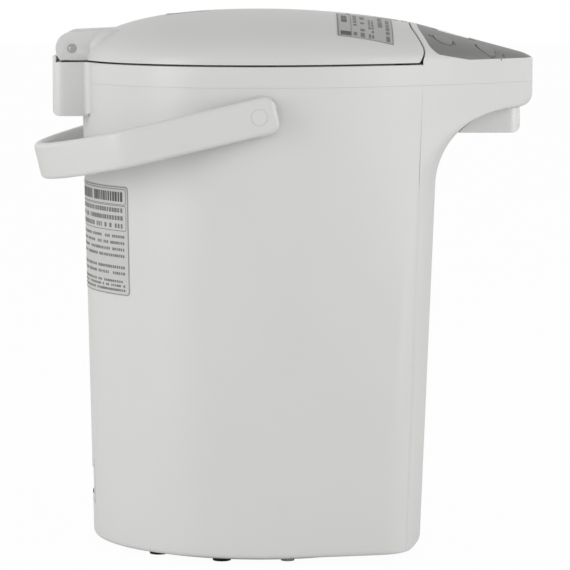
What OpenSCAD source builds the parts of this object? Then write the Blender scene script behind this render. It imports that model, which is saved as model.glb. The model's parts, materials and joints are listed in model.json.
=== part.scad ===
// Electric thermo pot with a pumped spout, a hinged domed lid, a bail handle and a turning base.
// Millimetres, +Z up, front towards -Y. The origin is on the table, on the axis of the round body.

/* [Body] */
// Outer radius of the round rear, where the body meets the upper frame
body_r = 110.4; // [106:0.2:114]
// How much smaller that radius is at the foot of the body
body_draft = 6; // [3:0.5:8]
// Thickness of the moulded outer walls
wall = 2.4; // [2:0.1:3]
// Height of the body's lower edge above the table
foot_z = 4; // [3.5:0.1:5]
// Height of the parting line under the upper frame
seam_z = 285.5; // [278:0.5:295]
// Reach of the front wall ahead of the axis, at table height
front_reach = 99.2; // [97:0.2:103]
// Forward lean of the front wall, in degrees
front_lean = 2.26; // [1:0.1:3]
// Gap that shows between two outer mouldings
seam_gap = 0.15; // [0.1:0.05:0.4]

/* [Nose and spout] */
// Reach of the nose ahead of the axis
nose_reach = 168; // [160:1:176]
// Plan radius of the nose tip
tip_r = 30; // [26:1:34]
// Height of the nose's lower face
nose_floor = 270; // [267:0.5:271]
// Length of that flat face, from the top of the arch to the tip
nose_lip = 10.1; // [9:0.1:12]
// Distance of the spout's outlet behind the nose's tip
outlet_back = 27; // [25:0.5:29]
// Inside radius of the outlet
outlet_r = 4.5; // [3.5:0.1:5]
// Half width of the spout housing
spout_half = 15; // [13:0.5:18]
// Height of the spout housing's lower face
spout_z = 253.8; // [252:0.2:256]

/* [Lid and hinge] */
// Height of the domed lid above its lower edge
lid_crown = 30.3; // [26:0.1:34]
// Height of the gap between lid and frame
lid_gap = 1.1; // [0.8:0.1:1.4]
// Height of the lid's lower edge above the parting line
band_h = 13.6; // [12:0.1:16]
// Distance of the hinge pin behind the round rear
pin_out = 4.2; // [3.6:0.1:5]
// Height of the hinge pin above the lid's lower edge
pin_rise = 7.1; // [6:0.1:8]
// Radius of the hinge barrel
barrel_r = 10.1; // [9.6:0.1:10.6]
// Radius of the hinge pin
pin_r = 2.8; // [2.2:0.1:3]
// Half width of the hinge tab
tab_half = 33.5; // [30:0.5:34]

/* [Handle] */
// Height of the handle's pivots
pivot_z = 268.8; // [266:0.2:271]
// Height of the handle's strap
strap_h = 22.2; // [20:0.2:24]
// Thickness of the strap
strap_t = 6; // [5:0.2:7]
// Gap for the fingers between the strap and the round rear, with the strap level
bail_gap = 25.4; // [24:0.5:30]
// Droop of the handle at rest, in degrees
bail_droop = 13.3; // [10:0.1:15]

/* [Inside] */
// Inside radius of the water container
container_r = 76; // [72:0.5:77]
// Height of the container's floor
container_z = 62; // [61:0.5:66]
// Radius of the pump's housing
pump_r = 22; // [20:0.5:24]
// Distance of the pump's axis ahead of the body's axis
pump_y = 44; // [42:1:46]
// Outside radius of the gauge tube
gauge_r = 3.5; // [3:0.1:3.6]

/* [Turning base] */
// Outer radius of the turning base
base_r = 93; // [90:0.5:94]
// Radius of the hub that the body turns on
hub_r = 28; // [24:0.5:30]
// Radius of the circle of rubber pads
pad_ring_r = 87; // [84:0.5:87]
// Diameter of a rubber pad
pad_d = 11; // [9:0.5:12]
// Number of rubber pads
pad_count = 12; // [6:1:14]

/* [Hidden] */
$fn = 64;
e = 0.01;            // overlap of a cut past a face
fit = 0.08;          // radial clearance of a running pin
near = 0.3;          // clearance between pieces that move past each other

lid_z = seam_z + band_h;          // lower edge of the lid
frame_top = lid_z - lid_gap;      // top edge of the frame, under the lid
deck_t = 2.6;                     // thickness of the frame's deck
pin_y = body_r + pin_out;
pin_z = lid_z + pin_rise;
foot_r = body_r - body_draft;
lean = tan(front_lean);
arch_y = -(nose_reach - nose_lip);
// the arch runs from the leaning front wall to the nose's lower face
arch_r = (nose_reach - nose_lip - front_reach - nose_floor * lean) / (1 - lean);
arch_z = nose_floor - arch_r;
outlet_y = nose_reach - outlet_back;
side_turn = 20;                   // where the nose's side leaves the round rear, degrees
foot_turn = 11;                   // the same at the foot
foot_side_r = 1500;               // radius of the nearly straight side at the foot
foot_corner = 26;                 // plan radius of the front corners at the foot
front_crown = 300;                // plan radius of the front wall
arch_corner = 18;                 // plan radius of the front corners where the arch starts
sharp = 1.2;                      // the same at the top of the arch
plan_low = 60;                    // the plan changes from the foot's to the rim's between
plan_high = seam_z - 15;          // these heights
white = "gainsboro";
grey = "darkgray";

// ---- plan outlines -------------------------------------------------------------------------

function mix(a, b, t) = a + (b - a) * t;
function smooth(t) = let (u = min(1, max(0, t))) u * u * (3 - 2 * u);
function polar(c, r, a) = [c[0] + r * cos(a), c[1] + r * sin(a)];
function arc(c, r, a0, a1, n) = [for (i = [0:n]) polar(c, r, mix(a0, a1, i / n))];
function rest(p) = [for (i = [1:len(p) - 1]) p[i]];
function bearing(c, p) = atan2(p[1] - c[1], p[0] - c[0]);
// crossing of two circles; side picks which of the two
function meet(c1, r1, c2, r2, side) =
  let (d = norm(c2 - c1), u = (c2 - c1) / d,
       a = (r1 * r1 - r2 * r2 + d * d) / (2 * d), h = sqrt(max(0, r1 * r1 - a * a)))
  c1 + a * u + side * h * [u[1], -u[0]];
// a half outline runs from the rear to the front on the +X side; this adds its mirror image
function closed(half) = concat(half, [for (i = [len(half) - 2:-1:1]) [-half[i][0], half[i][1]]]);

// radius of the side arc that joins a round rear of radius r to a nose tip
function side_radius(r, reach, tip) =
  let (c = reach - tip, g = r - tip)
  r + (c * c - g * g) / (2 * (g - c * sin(side_turn)));
function side_centre(r, side_r, turn) = (side_r - r) * [-cos(turn), sin(turn)];
rim_side_r = side_radius(body_r, nose_reach, tip_r);
rim_centre = side_centre(body_r, rim_side_r, side_turn);
tip_centre = [0, -(nose_reach - tip_r)];

// teardrop: round rear, long side arc, round tip, all set in by w
function teardrop(r, reach, tip, w) =
  let (sr = side_radius(r, reach, tip), cs = side_centre(r, sr, side_turn),
       ct = [0, -(reach - tip)], turn = bearing(cs, ct))
  concat(arc([0, 0], r - w, 90, -side_turn, 16), rest(arc(cs, sr - w, -side_turn, turn, 8)),
         rest(arc(ct, tip - w, turn, -90, 7)));
function rim_half(w) = teardrop(body_r, nose_reach, tip_r, w);

// plan of the body at height z: the front wall at front_y cuts the teardrop off
function body_r_at(z) = mix(foot_r, body_r, (z - foot_z) / (seam_z - foot_z));
function body_half(z, front_y, corner, w) =
  let (r = body_r_at(z), b = smooth((z - plan_low) / (plan_high - plan_low)), turn = mix(foot_turn, side_turn, b),
       sr = 1 / mix(1 / foot_side_r, 1 / side_radius(r, nose_reach, tip_r), b),
       cs = side_centre(r, sr, turn), rc = max(0.6, corner - w), cf = [0, front_y + front_crown],
       cc = meet(cs, sr - w - rc, cf, front_crown - rc, 1))
  concat(arc([0, 0], r - w, 90, -turn, 16), rest(arc(cs, sr - w, -turn, bearing(cs, cc), 8)),
         rest(arc(cc, rc, bearing(cs, cc), bearing(cf, cc), 6)),
         rest(arc(cf, front_crown, bearing(cf, cc), -90, 3)));
function front_y_at(z) = -(front_reach + z * lean);

// ---- height of the lid, the frame and the panel, one flowing surface --------------------------

function swell(t) = sqrt(max(0, 1 - pow(min(1, t), 2.5)));
function half_width(y) =
  y > -body_r * sin(side_turn) ? sqrt(body_r * body_r - y * y)
  : let (turn = bearing(rim_centre, tip_centre))
    y > tip_centre[1] + tip_r * sin(turn)
    ? rim_centre[0] + sqrt(rim_side_r * rim_side_r - pow(y - rim_centre[1], 2))
    : sqrt(max(0.01, tip_r * tip_r - pow(y - tip_centre[1], 2)));
crest_y = 93.4;      // where the lid's ridge passes into the sloping panel
crest_arc = 527;     // radius of the ridge seen from the side
panel_fall = 0.2666; // slope of the panel
tip_round = 8;       // edge rounding of the nose seen from the side
function ridge(y) =
  let (d = -y)
  (d <= 0 ? lid_crown : d < crest_y ? lid_crown - d * d / (2 * crest_arc)
   : lid_crown - crest_y * crest_y / (2 * crest_arc) - (d - crest_y) * panel_fall)
  * (d < nose_reach - tip_round ? 1
     : sqrt(max(0, 1 - pow((d - nose_reach + tip_round) / tip_round, 2))));
function top_z(p) = lid_z + (p[1] >= 0 ? lid_crown * swell(norm(p) / body_r)
  : ridge(p[1]) * swell(abs(p[0]) / half_width(p[1])));
function top_normal(p) =
  let (h = 0.5, gx = (top_z(p + [h, 0]) - top_z(p - [h, 0])) / (2 * h),
       gy = (top_z(p + [0, h]) - top_z(p - [0, h])) / (2 * h), n = [-gx, -gy, 1])
  n / norm(n);

// ---- lid edge, nose edge and panel edge ----------------------------------------------------------

edge_flat = 30;                         // half length of the straight middle of the lid's front edge
edge_r = 110;                           // plan radius of its hollow ends
edge_y = -91.8;                         // where the nose meets that edge, on the ridge
edge_gap = 0.8;                         // gap between them
edge_c = [edge_flat, edge_y - edge_r];
lid_corner = 7;                         // plan radius of the lid's front corners
lid_corner_c = meet(rim_centre, rim_side_r - lid_corner, edge_c, edge_r + edge_gap + lid_corner, -1);
rim_turn = bearing(rim_centre, tip_centre);
function lid_half(w) =
  let (rc = max(1, lid_corner - w),
       cc = w == 0 ? lid_corner_c
            : meet(rim_centre, rim_side_r - w - rc, edge_c, edge_r + edge_gap + w + rc, -1),
       a = bearing(rim_centre, cc))
  concat(arc([0, 0], body_r - w, 90, -side_turn, 16), rest(arc(rim_centre, rim_side_r - w, -side_turn, a, 5)),
         rest(arc(cc, rc, a, bearing(cc, edge_c), 5)),
         rest(arc(edge_c, edge_r + edge_gap + w, bearing(edge_c, cc), 90, 3)), [[0, edge_y + edge_gap + w]]);
// the nose half outline starts on the ridge, runs round the lid's corner and along the side
function nose_half(w) =
  let (rc = lid_corner + edge_gap + w, cc = lid_corner_c,
       horn = meet(rim_centre, rim_side_r - w, cc, rc, 1))
  concat([[0, edge_y - w]], arc(edge_c, edge_r - w, 90, bearing(edge_c, cc), 3),
         rest(arc(cc, rc, bearing(cc, edge_c), bearing(cc, horn), 4)),
         rest(arc(rim_centre, rim_side_r - w, bearing(rim_centre, horn), rim_turn, 6)),
         rest(arc(tip_centre, tip_r - w, rim_turn, -90, 6)));
panel_border = 4.1;                     // white strip between the lid and the panel
panel_corner = 5;
panel_side_r = 160;                     // the panel's rear corners draw in from the rim on this radius
panel_t = 1.5;                          // depth of the panel's recess
panel_edge = 1;                         // height of its lower edge above the lid's lower edge
panel_turn = mix(-side_turn, rim_turn, 0.74);
panel_side_c = polar(rim_centre, rim_side_r - panel_side_r, panel_turn);
// at the sides and the tip this outline runs just outside the nose, which cuts it off
function panel_half(w) =
  let (pr = edge_r - panel_border - w, sr = panel_side_r - w, rc = panel_corner - w,
       cc = meet(panel_side_c, sr - rc, edge_c, pr - rc, -1))
  concat([[0, edge_y - panel_border - w]], arc(edge_c, pr, 90, bearing(edge_c, cc), 3),
         rest(arc(cc, rc, bearing(edge_c, cc), bearing(panel_side_c, cc), 4)),
         rest(arc(panel_side_c, sr, bearing(panel_side_c, cc), panel_turn, 3)),
         arc(rim_centre, rim_side_r + 1, panel_turn, rim_turn, 2),
         rest(arc(tip_centre, tip_r + 1, rim_turn, -90, 6)));
function panel_floor(p) = max(top_z(p) - panel_t, lid_z + panel_edge);

// ---- meshes from outlines ------------------------------------------------------------------------

function flat(l) = [for (a = l) for (b = a) b];
function at_z(plan, z) = [for (p = plan) [p[0], p[1], z]];
function draped(plan, dz) = [for (p = plan) [p[0], p[1], top_z(p) + dz]];
function shrunk(plan, c, s) = [for (p = plan) c + (p - c) * s];
function halves(quads) = [for (q = quads) for (t = [[q[0], q[1], q[2]], [q[0], q[2], q[3]]]) t];
function strip(a, b, n, turn) =
  [for (i = [0:n - 1]) let (k = (i + 1) % turn) [a + i, a + k, b + k, b + i]];

// closed body between an upper and a lower stack of rings, both from rim to centre
module cap(upper, lower, top_c, low_c) {
  n = len(upper[0]);
  m = len(upper);
  k = len(lower);
  low = n * m;
  points = concat(flat(upper), flat(lower), [top_c, low_c]);
  last = low + n * k;
  polyhedron(points, concat(
    halves(flat([for (j = [0:m - 2]) strip(j * n, (j + 1) * n, n, n)])),
    [for (i = [0:n - 1]) [(m - 1) * n + i, (m - 1) * n + (i + 1) % n, last]],
    halves(flat([for (j = [0:k - 2]) strip(low + (j + 1) * n, low + j * n, n, n)])),
    [for (i = [0:n - 1]) [low + (k - 1) * n + (i + 1) % n, low + (k - 1) * n + i, last + 1]],
    halves(strip(low, 0, n, n))), convexity = 6);
}

// open wall between outer and inner levels, each level a line of points from end to end
module ribbon(outer, inner) {
  n = len(outer[0]);
  m = len(outer);
  s = n * m;
  polyhedron(concat(flat(outer), flat(inner)), halves(concat(
    flat([for (l = [0:m - 2]) strip(l * n, (l + 1) * n, n - 1, n)]),
    flat([for (l = [0:m - 2]) strip(s + (l + 1) * n, s + l * n, n - 1, n)]),
    strip(s, 0, n - 1, n),
    strip((m - 1) * n, s + (m - 1) * n, n - 1, n),
    [for (l = [0:m - 2]) [l * n, (l + 1) * n, s + (l + 1) * n, s + l * n]],
    [for (l = [0:m - 2]) [l * n + n - 1, s + l * n + n - 1, s + (l + 1) * n + n - 1, (l + 1) * n + n - 1]])),
    convexity = 6);
}

// ---- the body's two lower mouldings ---------------------------------------------------------------

function cross(p, q, y) = p + (q - p) * (y - p[1]) / (q[1] - p[1]);
function cut_at(half, y) = [for (k = [0:len(half) - 2]) if (half[k][1] >= y && half[k + 1][1] < y) k][0];
function behind(half, y) =
  let (k = cut_at(half, y)) concat([for (i = [0:k]) half[i]], [cross(half[k], half[k + 1], y)]);
function ahead(half, y) =
  let (k = cut_at(half, y))
  concat([cross(half[k], half[k + 1], y)], [for (i = [k + 1:len(half) - 1]) half[i]]);
function sums(p) = [for (i = 0, s = 0; i < len(p); s = i + 1 < len(p) ? s + norm(p[i + 1] - p[i]) : s, i = i + 1) s];
function evenly(p, n) =
  let (s = sums(p), last = len(p) - 1, tx = [for (i = [0:last]) [s[i], p[i][0]]],
       ty = [for (i = [0:last]) [s[i], p[i][1]]])
  [for (k = [0:n]) let (t = s[last] * k / n) [k == 0 ? p[0][0] : k == n ? p[last][0] : lookup(t, tx),
                                              k == 0 ? p[0][1] : k == n ? p[last][1] : lookup(t, ty)]];
function mirrored(half) = [for (p = half) [-p[0], p[1]]];
function reversed(p) = [for (i = [len(p) - 1:-1:0]) p[i]];
// the parting line between shell and front cover, on each side
part_reach = 88;               // reach of that line ahead of the axis, at table height
part_lean = 0.033;             // and its lean
function part_y(z) = -(part_reach + part_lean * z);
function rear_line(half, y, n) =
  let (h = evenly(behind(half, y), n)) concat(reversed(mirrored(h)), rest(h));
function front_line(half, y, n) =
  let (h = evenly(ahead(half, y), n)) concat(h, rest(reversed(mirrored(h))));

shell_levels = concat([foot_z, foot_z + 2], [for (t = [0.21, 0.4, 0.58, 0.72, 0.86]) t * seam_z], [seam_z - seam_gap]);
function foot_in(z) = z <= foot_z ? 1.2 : 0;
function corner_at(z) = mix(foot_corner, arch_corner, z / arch_z);

module body_shell() {
  color(white) difference() {
    ribbon(
      [for (z = shell_levels) at_z(rear_line(body_half(z, front_y_at(z), corner_at(z), foot_in(z)), part_y(z), 26), z)],
      [for (z = shell_levels) at_z(rear_line(body_half(z, front_y_at(z) + wall, corner_at(z), wall), part_y(z), 26), z)]);
    inlet_block(near);
    for (s = [-1, 1]) boss_axis(s) cylinder(r = boss_spigot_r + fit, h = 30, center = true);
  }
}

arch_steps = [15, 30, 45, 57, 67, 76, 84];
nose_steps = [[0, 6], [1.4, 3.2], [4, 1], [8, 0]];   // height above the nose's floor, set-in of the tip
function tipped(half, s) =
  [for (p = half) let (u = max(0, tip_centre[1] - p[1]) / tip_r) [p[0], p[1] + s * u * u]];
function cover_levels(w) = concat(
  [for (z = concat([foot_z, foot_z + 2], [for (t = [0.27, 0.52, 0.75, 0.92, 1]) t * arch_z]))
    at_z(front_line(body_half(z, front_y_at(z) + w, corner_at(z), max(w, foot_in(z))), part_y(z) - seam_gap, 14), z)],
  [for (a = arch_steps)
    let (z = arch_z + (arch_r + w) * sin(a), y = arch_y + (arch_r + w) * cos(a))
    at_z(front_line(body_half(z, y, mix(arch_corner, sharp, a / 90), w), part_y(z) - seam_gap, 14), z)],
  [for (s = nose_steps)
    let (z = nose_floor + w + s[0])
    at_z(front_line(tipped(teardrop(body_r_at(z), nose_reach, tip_r, w), s[1]), part_y(z) - seam_gap, 14), z)],
  [at_z(front_line(teardrop(body_r_at(seam_z), nose_reach, tip_r, w), part_y(seam_z) - seam_gap, 14), seam_z - seam_gap)]);

module front_cover() {
  color(white) difference() {
    ribbon(cover_levels(0), cover_levels(wall));
    window_block(fit);
    at_outlet(spout_z) cylinder(r = outlet_r + 2 + fit, h = 40);
    for (s = [-1, 1]) translate([s * (spout_half - 4), -outlet_y + 12, spout_z]) cylinder(r = 1.2, h = 30);
  }
}

// ---- upper frame -----------------------------------------------------------------------------------

nose_c = [0, -140];       // the nose's rings shrink towards this point
nose_skin = 3.4;          // thickness of the frame under the panel
function nose_rings(half_plan, dz, steps) = [for (s = steps) draped(shrunk(closed(half_plan), nose_c, s), dz)];
cap_steps = [1, 0.992, 0.97, 0.92, 0.84, 0.7, 0.5, 0.25];
bracket_half = tab_half + 2.5;
bracket_y = pin_y + barrel_r + 2.1;
bracket_z = seam_z - 20.3;
bracket_corner = 7;
bracket_round = 4;
scoop_r = barrel_r + 0.5;
eye_r = pin_r + 2.8;
lug_turn = 123;           // the lugs come up behind this bearing below the pin
lug_in = 20;              // the hinge lugs stand between these distances from the middle
lug_out = 28;
mouth_r = container_r - 1.5;
post_x = half_width(edge_y - 14.2) - 34;
post_spots = [[-post_x, edge_y - 14.2], [post_x, edge_y - 14.2], [0, -(nose_reach - 16)]];

module nose_shell() {
  inner = closed(nose_half(wall));
  cap(nose_rings(nose_half(0), 0, cap_steps),
      concat([at_z(closed(nose_half(0)), seam_z), at_z(inner, seam_z), draped(inner, -nose_skin)],
             [for (s = [0.9, 0.75, 0.5, 0.25]) draped(shrunk(inner, nose_c, s), -nose_skin)]),
      [nose_c[0], nose_c[1], top_z(nose_c)], [nose_c[0], nose_c[1], top_z(nose_c) - nose_skin]);
}

// the nose without its hollow, with its top raised by high
module nose_block(high) {
  plan = closed(nose_half(0));
  cap(nose_rings(nose_half(0), high, cap_steps), [at_z(plan, seam_z), at_z(shrunk(plan, nose_c, 0.5), seam_z)],
      [nose_c[0], nose_c[1], top_z(nose_c) + high], [nose_c[0], nose_c[1], seam_z]);
}

// everything above the floor of the panel's recess
module panel_space(w, lift) {
  plan = closed(panel_half(w));
  cap(nose_rings(panel_half(w), 8, cap_steps),
      [for (s = cap_steps) [for (p = shrunk(plan, nose_c, s)) [p[0], p[1], panel_floor(p) + lift]]],
      [nose_c[0], nose_c[1], top_z(nose_c) + 8], [nose_c[0], nose_c[1], panel_floor(nose_c) + lift]);
}

module frame_ring() {
  difference() {
    translate([0, 0, seam_z]) linear_extrude(frame_top - seam_z) polygon(closed(rim_half(0.03)));
    translate([0, 0, seam_z + deck_t]) linear_extrude(60) polygon(closed(rim_half(wall)));
    translate([0, 0, seam_z - e]) cylinder(r = mouth_r, h = 60, $fn = 96);
    translate([0, 0, seam_z - e]) linear_extrude(60) polygon(closed(nose_half(wall / 2)));
  }
}

// extrusion along X, of a profile drawn in Y and Z
module along_x(half) { rotate([90, 0, 90]) linear_extrude(2 * half, center = true) children(); }

module hinge_bracket() {
  top = frame_top + 3.4;
  inner = body_r - wall;
  difference() {
    intersection() {
      translate([0, 0, bracket_z]) linear_extrude(top - bracket_z) union() {
        translate([-bracket_half, 0]) square([2 * bracket_half, bracket_y - bracket_corner]);
        translate([bracket_corner - bracket_half, 0])
          square([2 * (bracket_half - bracket_corner), bracket_y]);
        for (s = [-1, 1]) translate([s * (bracket_half - bracket_corner), bracket_y - bracket_corner])
          circle(r = bracket_corner);
      }
      along_x(bracket_half + 1) union() {
        translate([0, bracket_z + bracket_round]) square([bracket_y, top - bracket_z]);
        translate([0, bracket_z]) square([bracket_y - bracket_round, top - bracket_z]);
        translate([bracket_y - bracket_round, bracket_z + bracket_round]) circle(r = bracket_round);
      }
    }
    // the body's wall and everything inside the frame's ring
    translate([0, 0, bracket_z - e]) cylinder(r = body_r + near, h = seam_z - bracket_z + e, $fn = 180);
    translate([0, 0, seam_z - e]) cylinder(r = inner, h = 60, $fn = 180);
    translate([0, 0, frame_top]) along_x(200) square([bracket_y - 2.2, 30]);
    // hollow towards the body
    translate([wall - bracket_half, inner, bracket_z + wall])
      cube([2 * (bracket_half - wall), bracket_y - wall - inner, seam_z - bracket_z - 2 * wall]);
  }
}

module hinge_lugs() {
  foot = seam_z + deck_t / 2 - pin_z;
  front = frame_top - pin_z;
  difference() {
    for (s = [-1, 1]) translate([s * (lug_in + lug_out) / 2, 0, 0]) rotate([90, 0, 90])
      linear_extrude(lug_out - lug_in, center = true) translate([pin_y, pin_z]) union() {
        circle(r = eye_r);
        polygon([[0, 0], [0.3 - eye_r, 0], [front - 2.6, front], [front - 2.6, foot],
                 [polar([0, 0], 11.2, -lug_turn)[0], foot], polar([0, 0], 11.2, -lug_turn)]);
      }
    pin_axis() cylinder(r = pin_r + 0.02, h = 100, center = true);
  }
}

// room for the barrel as the lid swings
module barrel_scoop() { pin_axis() cylinder(r = scoop_r, h = 2 * tab_half + 1.2, center = true); }
module pin_axis() { translate([0, pin_y, pin_z]) rotate([0, 90, 0]) children(); }

module upper_frame() {
  color(white) difference() {
    union() {
      difference() {
        union() {
          frame_ring();
          hinge_bracket();
        }
        barrel_scoop();
      }
      nose_shell();
      hinge_lugs();
      for (p = post_spots) translate([p[0], p[1], board_z(p[1]) + board_t]) rotate([board_slope, 0, 0])
        cylinder(r = 2.6, h = top_z(p) - nose_skin / 2 - 1.1 - board_z(p[1]) - board_t, $fn = 24);
    }
    panel_space(0, 0);
    for (b = buttons) on_top(b) translate([0, 0, -8]) linear_extrude(14) oval(key_size + [1.2, 1.2]);
    on_top([0, window_y]) cube([window_w - 4.6, window_l - 4, 30], center = true);
  }
}

// the steel post on the frame's deck that the lid's catch stands in front of
module lid_striker() {
  color("silver") translate([-9, latch_front + 4.6 + near, seam_z + deck_t + e]) cube([18, 2.2, 6.4]);
}

// ---- control panel and its buttons -------------------------------------------------------------------

window_y = edge_y - 27.2;
window_w = 34;
window_l = 21;
key_size = [13, 12];      // oval keys, across and along
rear_key = edge_y - 18.7;
front_key = -(nose_reach - 31);
rear_key_x = half_width(rear_key) - 18.3;
front_key_x = half_width(front_key) - 9.8;
buttons = [[-rear_key_x, rear_key], [-front_key_x, front_key], [rear_key_x, rear_key], [front_key_x, front_key]];
button_proud = 0.3;
button_travel = 1.2;
switch_h = 3;
// length of a button's stem, so that it stands just over its switch with the travel to spare
function stem(p) = let (n = top_normal(p))
  (top_z(p) - board_z(p[1]) - board_t - switch_h - button_travel - near) / (n[2] - panel_fall * n[1]);
function stem_foot(p) = let (n = top_normal(p), l = stem(p)) [p[0] - n[0] * l, p[1] - n[1] * l];

function ellipse(size) = [for (i = [0:23]) [size[0] / 2 * cos(15 * i), size[1] / 2 * sin(15 * i)]];
module oval(size) { polygon(ellipse(size)); }
module on_top(p) {
  n = top_normal(p);
  translate([p[0], p[1], top_z(p)]) rotate([asin(-n[1]), atan2(n[0], n[2]), 0]) children();
}

module control_panel() {
  color(grey) difference() {
    intersection() {
      nose_block(0);
      panel_space(0.15, 0.05);
    }
    for (b = buttons) on_top(b) translate([0, 0, -8]) linear_extrude(14) oval(key_size + [0.7, 0.7]);
    on_top([0, window_y]) cube([window_w, window_l, 30], center = true);
  }
}

module display_window() {
  color("darkslategray") on_top([0, window_y]) translate([0, 0, -0.85])
    cube([window_w - 0.4, window_l - 0.4, 1], center = true);
}

module button(i) {
  b = buttons[i];
  color(grey) union() {
    intersection() {
      on_top(b) translate([0, 0, -4.2]) linear_extrude(10) oval(key_size);
      nose_block(button_proud);
    }
    on_top(b) {
      translate([0, 0, 1 - stem(b)]) cylinder(r = 1.6, h = stem(b) - 3);
      translate([0, 0, -stem(b)]) cylinder(r1 = 0.8, r2 = 1.6, h = 1);
    }
  }
}

// ---- spout ------------------------------------------------------------------------------------------

module at_outlet(z) { translate([0, -outlet_y, z]) children(); }

spout_front = -(nose_reach - 8.1);
spout_rear = -(nose_reach - 47.2);
spout_corner = 7.5;
spout_round = 5;
module spout_housing() {
  color(white) difference() {
    intersection() {
      translate([0, 0, spout_z]) linear_extrude(30) union() {
        translate([-spout_half, spout_front + spout_corner])
          square([2 * spout_half, spout_rear - spout_front - spout_corner]);
        translate([spout_corner - spout_half, spout_front])
          square([2 * (spout_half - spout_corner), spout_corner * 2]);
        for (s = [-1, 1]) translate([s * (spout_half - spout_corner), spout_front + spout_corner])
          circle(r = spout_corner);
      }
      along_x(spout_half + 1) union() {
        translate([spout_front, spout_z + spout_round]) square([60, 40]);
        translate([spout_front + spout_round, spout_z]) square([60, 40]);
        translate([spout_front + spout_round, spout_z + spout_round]) circle(r = spout_round);
      }
      translate([0, arch_y, arch_z]) rotate([0, 90, 0])
        cylinder(r = arch_r - 0.55, h = 100, center = true, $fn = 180);
    }
    at_outlet(spout_z - 1) cylinder(r = outlet_r + 2 + fit, h = 60);
    for (s = [-1, 1]) translate([s * (spout_half - 4), -outlet_y + 12, spout_z + 4]) cylinder(r = 1.2, h = 30);
  }
}

nozzle_top = nose_floor + wall + 1.8;
module spout_nozzle() {
  color("silver") difference() {
    union() {
      at_outlet(spout_z + 0.8) cylinder(r = outlet_r + 2, h = nozzle_top - spout_z - 0.8);
      at_outlet(nose_floor + wall + 0.1) cylinder(r = outlet_r + 5, h = 1.6);
    }
    at_outlet(spout_z) cylinder(r = outlet_r, h = 60);
  }
}

// ---- water path ----------------------------------------------------------------------------------------

tube_top = 240;
tube_low = 52;
gauge_y = front_reach + tube_low * lean - wall - gauge_r - 1.95;   // just behind the leaning window
sleeve_t = 1.1;
bend_r = 6;
pipe_z = nozzle_top + bend_r;  // height of the pipe inside the nose
pump_z = 30;                   // lower face of the pump's housing
outlet_z = pump_z + 7;

module bend(r) { rotate_extrude(angle = 90) translate([bend_r, 0]) circle(r = r, $fn = 32); }
module hollow(r_out, r_in, h) {
  difference() {
    cylinder(r = r_out, h = h);
    translate([0, 0, -e]) cylinder(r = r_in, h = h + 2 * e);
  }
}

module gauge_tube() {
  color("lightcyan") translate([0, -gauge_y, tube_low]) hollow(gauge_r, gauge_r - 1, tube_top - tube_low);
}

// sleeve over the gauge tube, up and over to the nozzle
module upper_route(r) {
  low = tube_top - 10;
  translate([0, -gauge_y, low]) cylinder(r = r, h = pipe_z - bend_r - low);
  translate([0, -gauge_y - bend_r, pipe_z - bend_r]) rotate([90, 0, 90]) bend(r);
  translate([0, -gauge_y - bend_r, pipe_z]) rotate([90, 0, 0])
    cylinder(r = r, h = outlet_y - gauge_y - 2 * bend_r);
  translate([0, -outlet_y + bend_r, pipe_z - bend_r]) rotate([90, 0, 90]) rotate(90) bend(r);
}
module upper_pipe() {
  color("whitesmoke") difference() {
    upper_route(gauge_r + sleeve_t);
    upper_route(gauge_r - 0.9);
    translate([0, -gauge_y, tube_top - 10 - e]) cylinder(r = gauge_r + 0.02, h = 10 + e);
  }
}

// from the pump's outlet forward, then up to the gauge tube
module lower_route(r) {
  start = -pump_y - pump_r - 6;
  translate([0, start - e, outlet_z]) rotate([90, 0, 0]) cylinder(r = r, h = gauge_y + start - bend_r - e);
  translate([0, -gauge_y + bend_r, outlet_z + bend_r]) rotate([90, 0, 90]) rotate(180) bend(r);
  translate([0, -gauge_y, outlet_z + bend_r]) cylinder(r = r, h = tube_low + 8 - outlet_z - bend_r);
}
module lower_pipe() {
  color("whitesmoke") difference() {
    lower_route(gauge_r + sleeve_t);
    lower_route(gauge_r - 0.9);
    translate([0, -gauge_y, tube_low - e]) cylinder(r = gauge_r + 0.02, h = 10);
  }
}

window_low = 60;
window_high = 212;
gauge_half = 7;
module window_block(grow) {
  z = (window_low + window_high) / 2;
  translate([0, front_y_at(z), z]) rotate([front_lean, 0, 0]) translate([0, wall / 2, 0])
    cube([2 * (gauge_half + grow), wall + (grow > 0 ? 6 : 0), window_high - window_low + 2 * grow], center = true);
}
module gauge_window() {
  color("lightblue") window_block(0);
}

// ---- container, heater and insulation ---------------------------------------------------------------------

container_wall = 1;
container_corner = 8;          // outside radius between the floor and the wall
container_seam = container_z + container_corner;   // the wall stands on the floor's turned-up edge
rim_z = seam_z - 2.4;          // under side of the container's rim
rim_r = container_r + 9;
jacket_r = container_r + container_wall + 3;
shield_t = 0.8;
shield_r = gauge_y - gauge_r - sleeve_t - 0.8 - shield_t;   // clear of the gauge tube's sleeve
jacket_t = shield_r - 0.2 - jacket_r;
chassis_z = 52;
chassis_t = 2;
stub_r = 5;

// wall of the container, with its rim turned out
module inner_container() {
  r = container_r;
  t = container_wall;
  color("silver") rotate_extrude($fn = 96) polygon([[r, container_seam], [r + t, container_seam], [r + t, rim_z],
    [rim_r, rim_z], [rim_r, rim_z + t], [r, rim_z + t]]);
}

module container_floor() {
  r = container_r;
  t = container_wall;
  c = container_corner;
  color("silver") difference() {
    union() {
      rotate_extrude($fn = 96) polygon(concat([[0, container_z]], arc([r + t - c, container_seam], c, -90, 0, 8),
        arc([r + t - c, container_seam], c - t, 0, -90, 8), [[0, container_z + t]]));
      translate([0, -pump_y, container_z - 6]) cylinder(r = stub_r, h = 6.5);
    }
    translate([0, -pump_y, container_z - 10]) cylinder(r = stub_r - 1, h = 20);
  }
}

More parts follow.
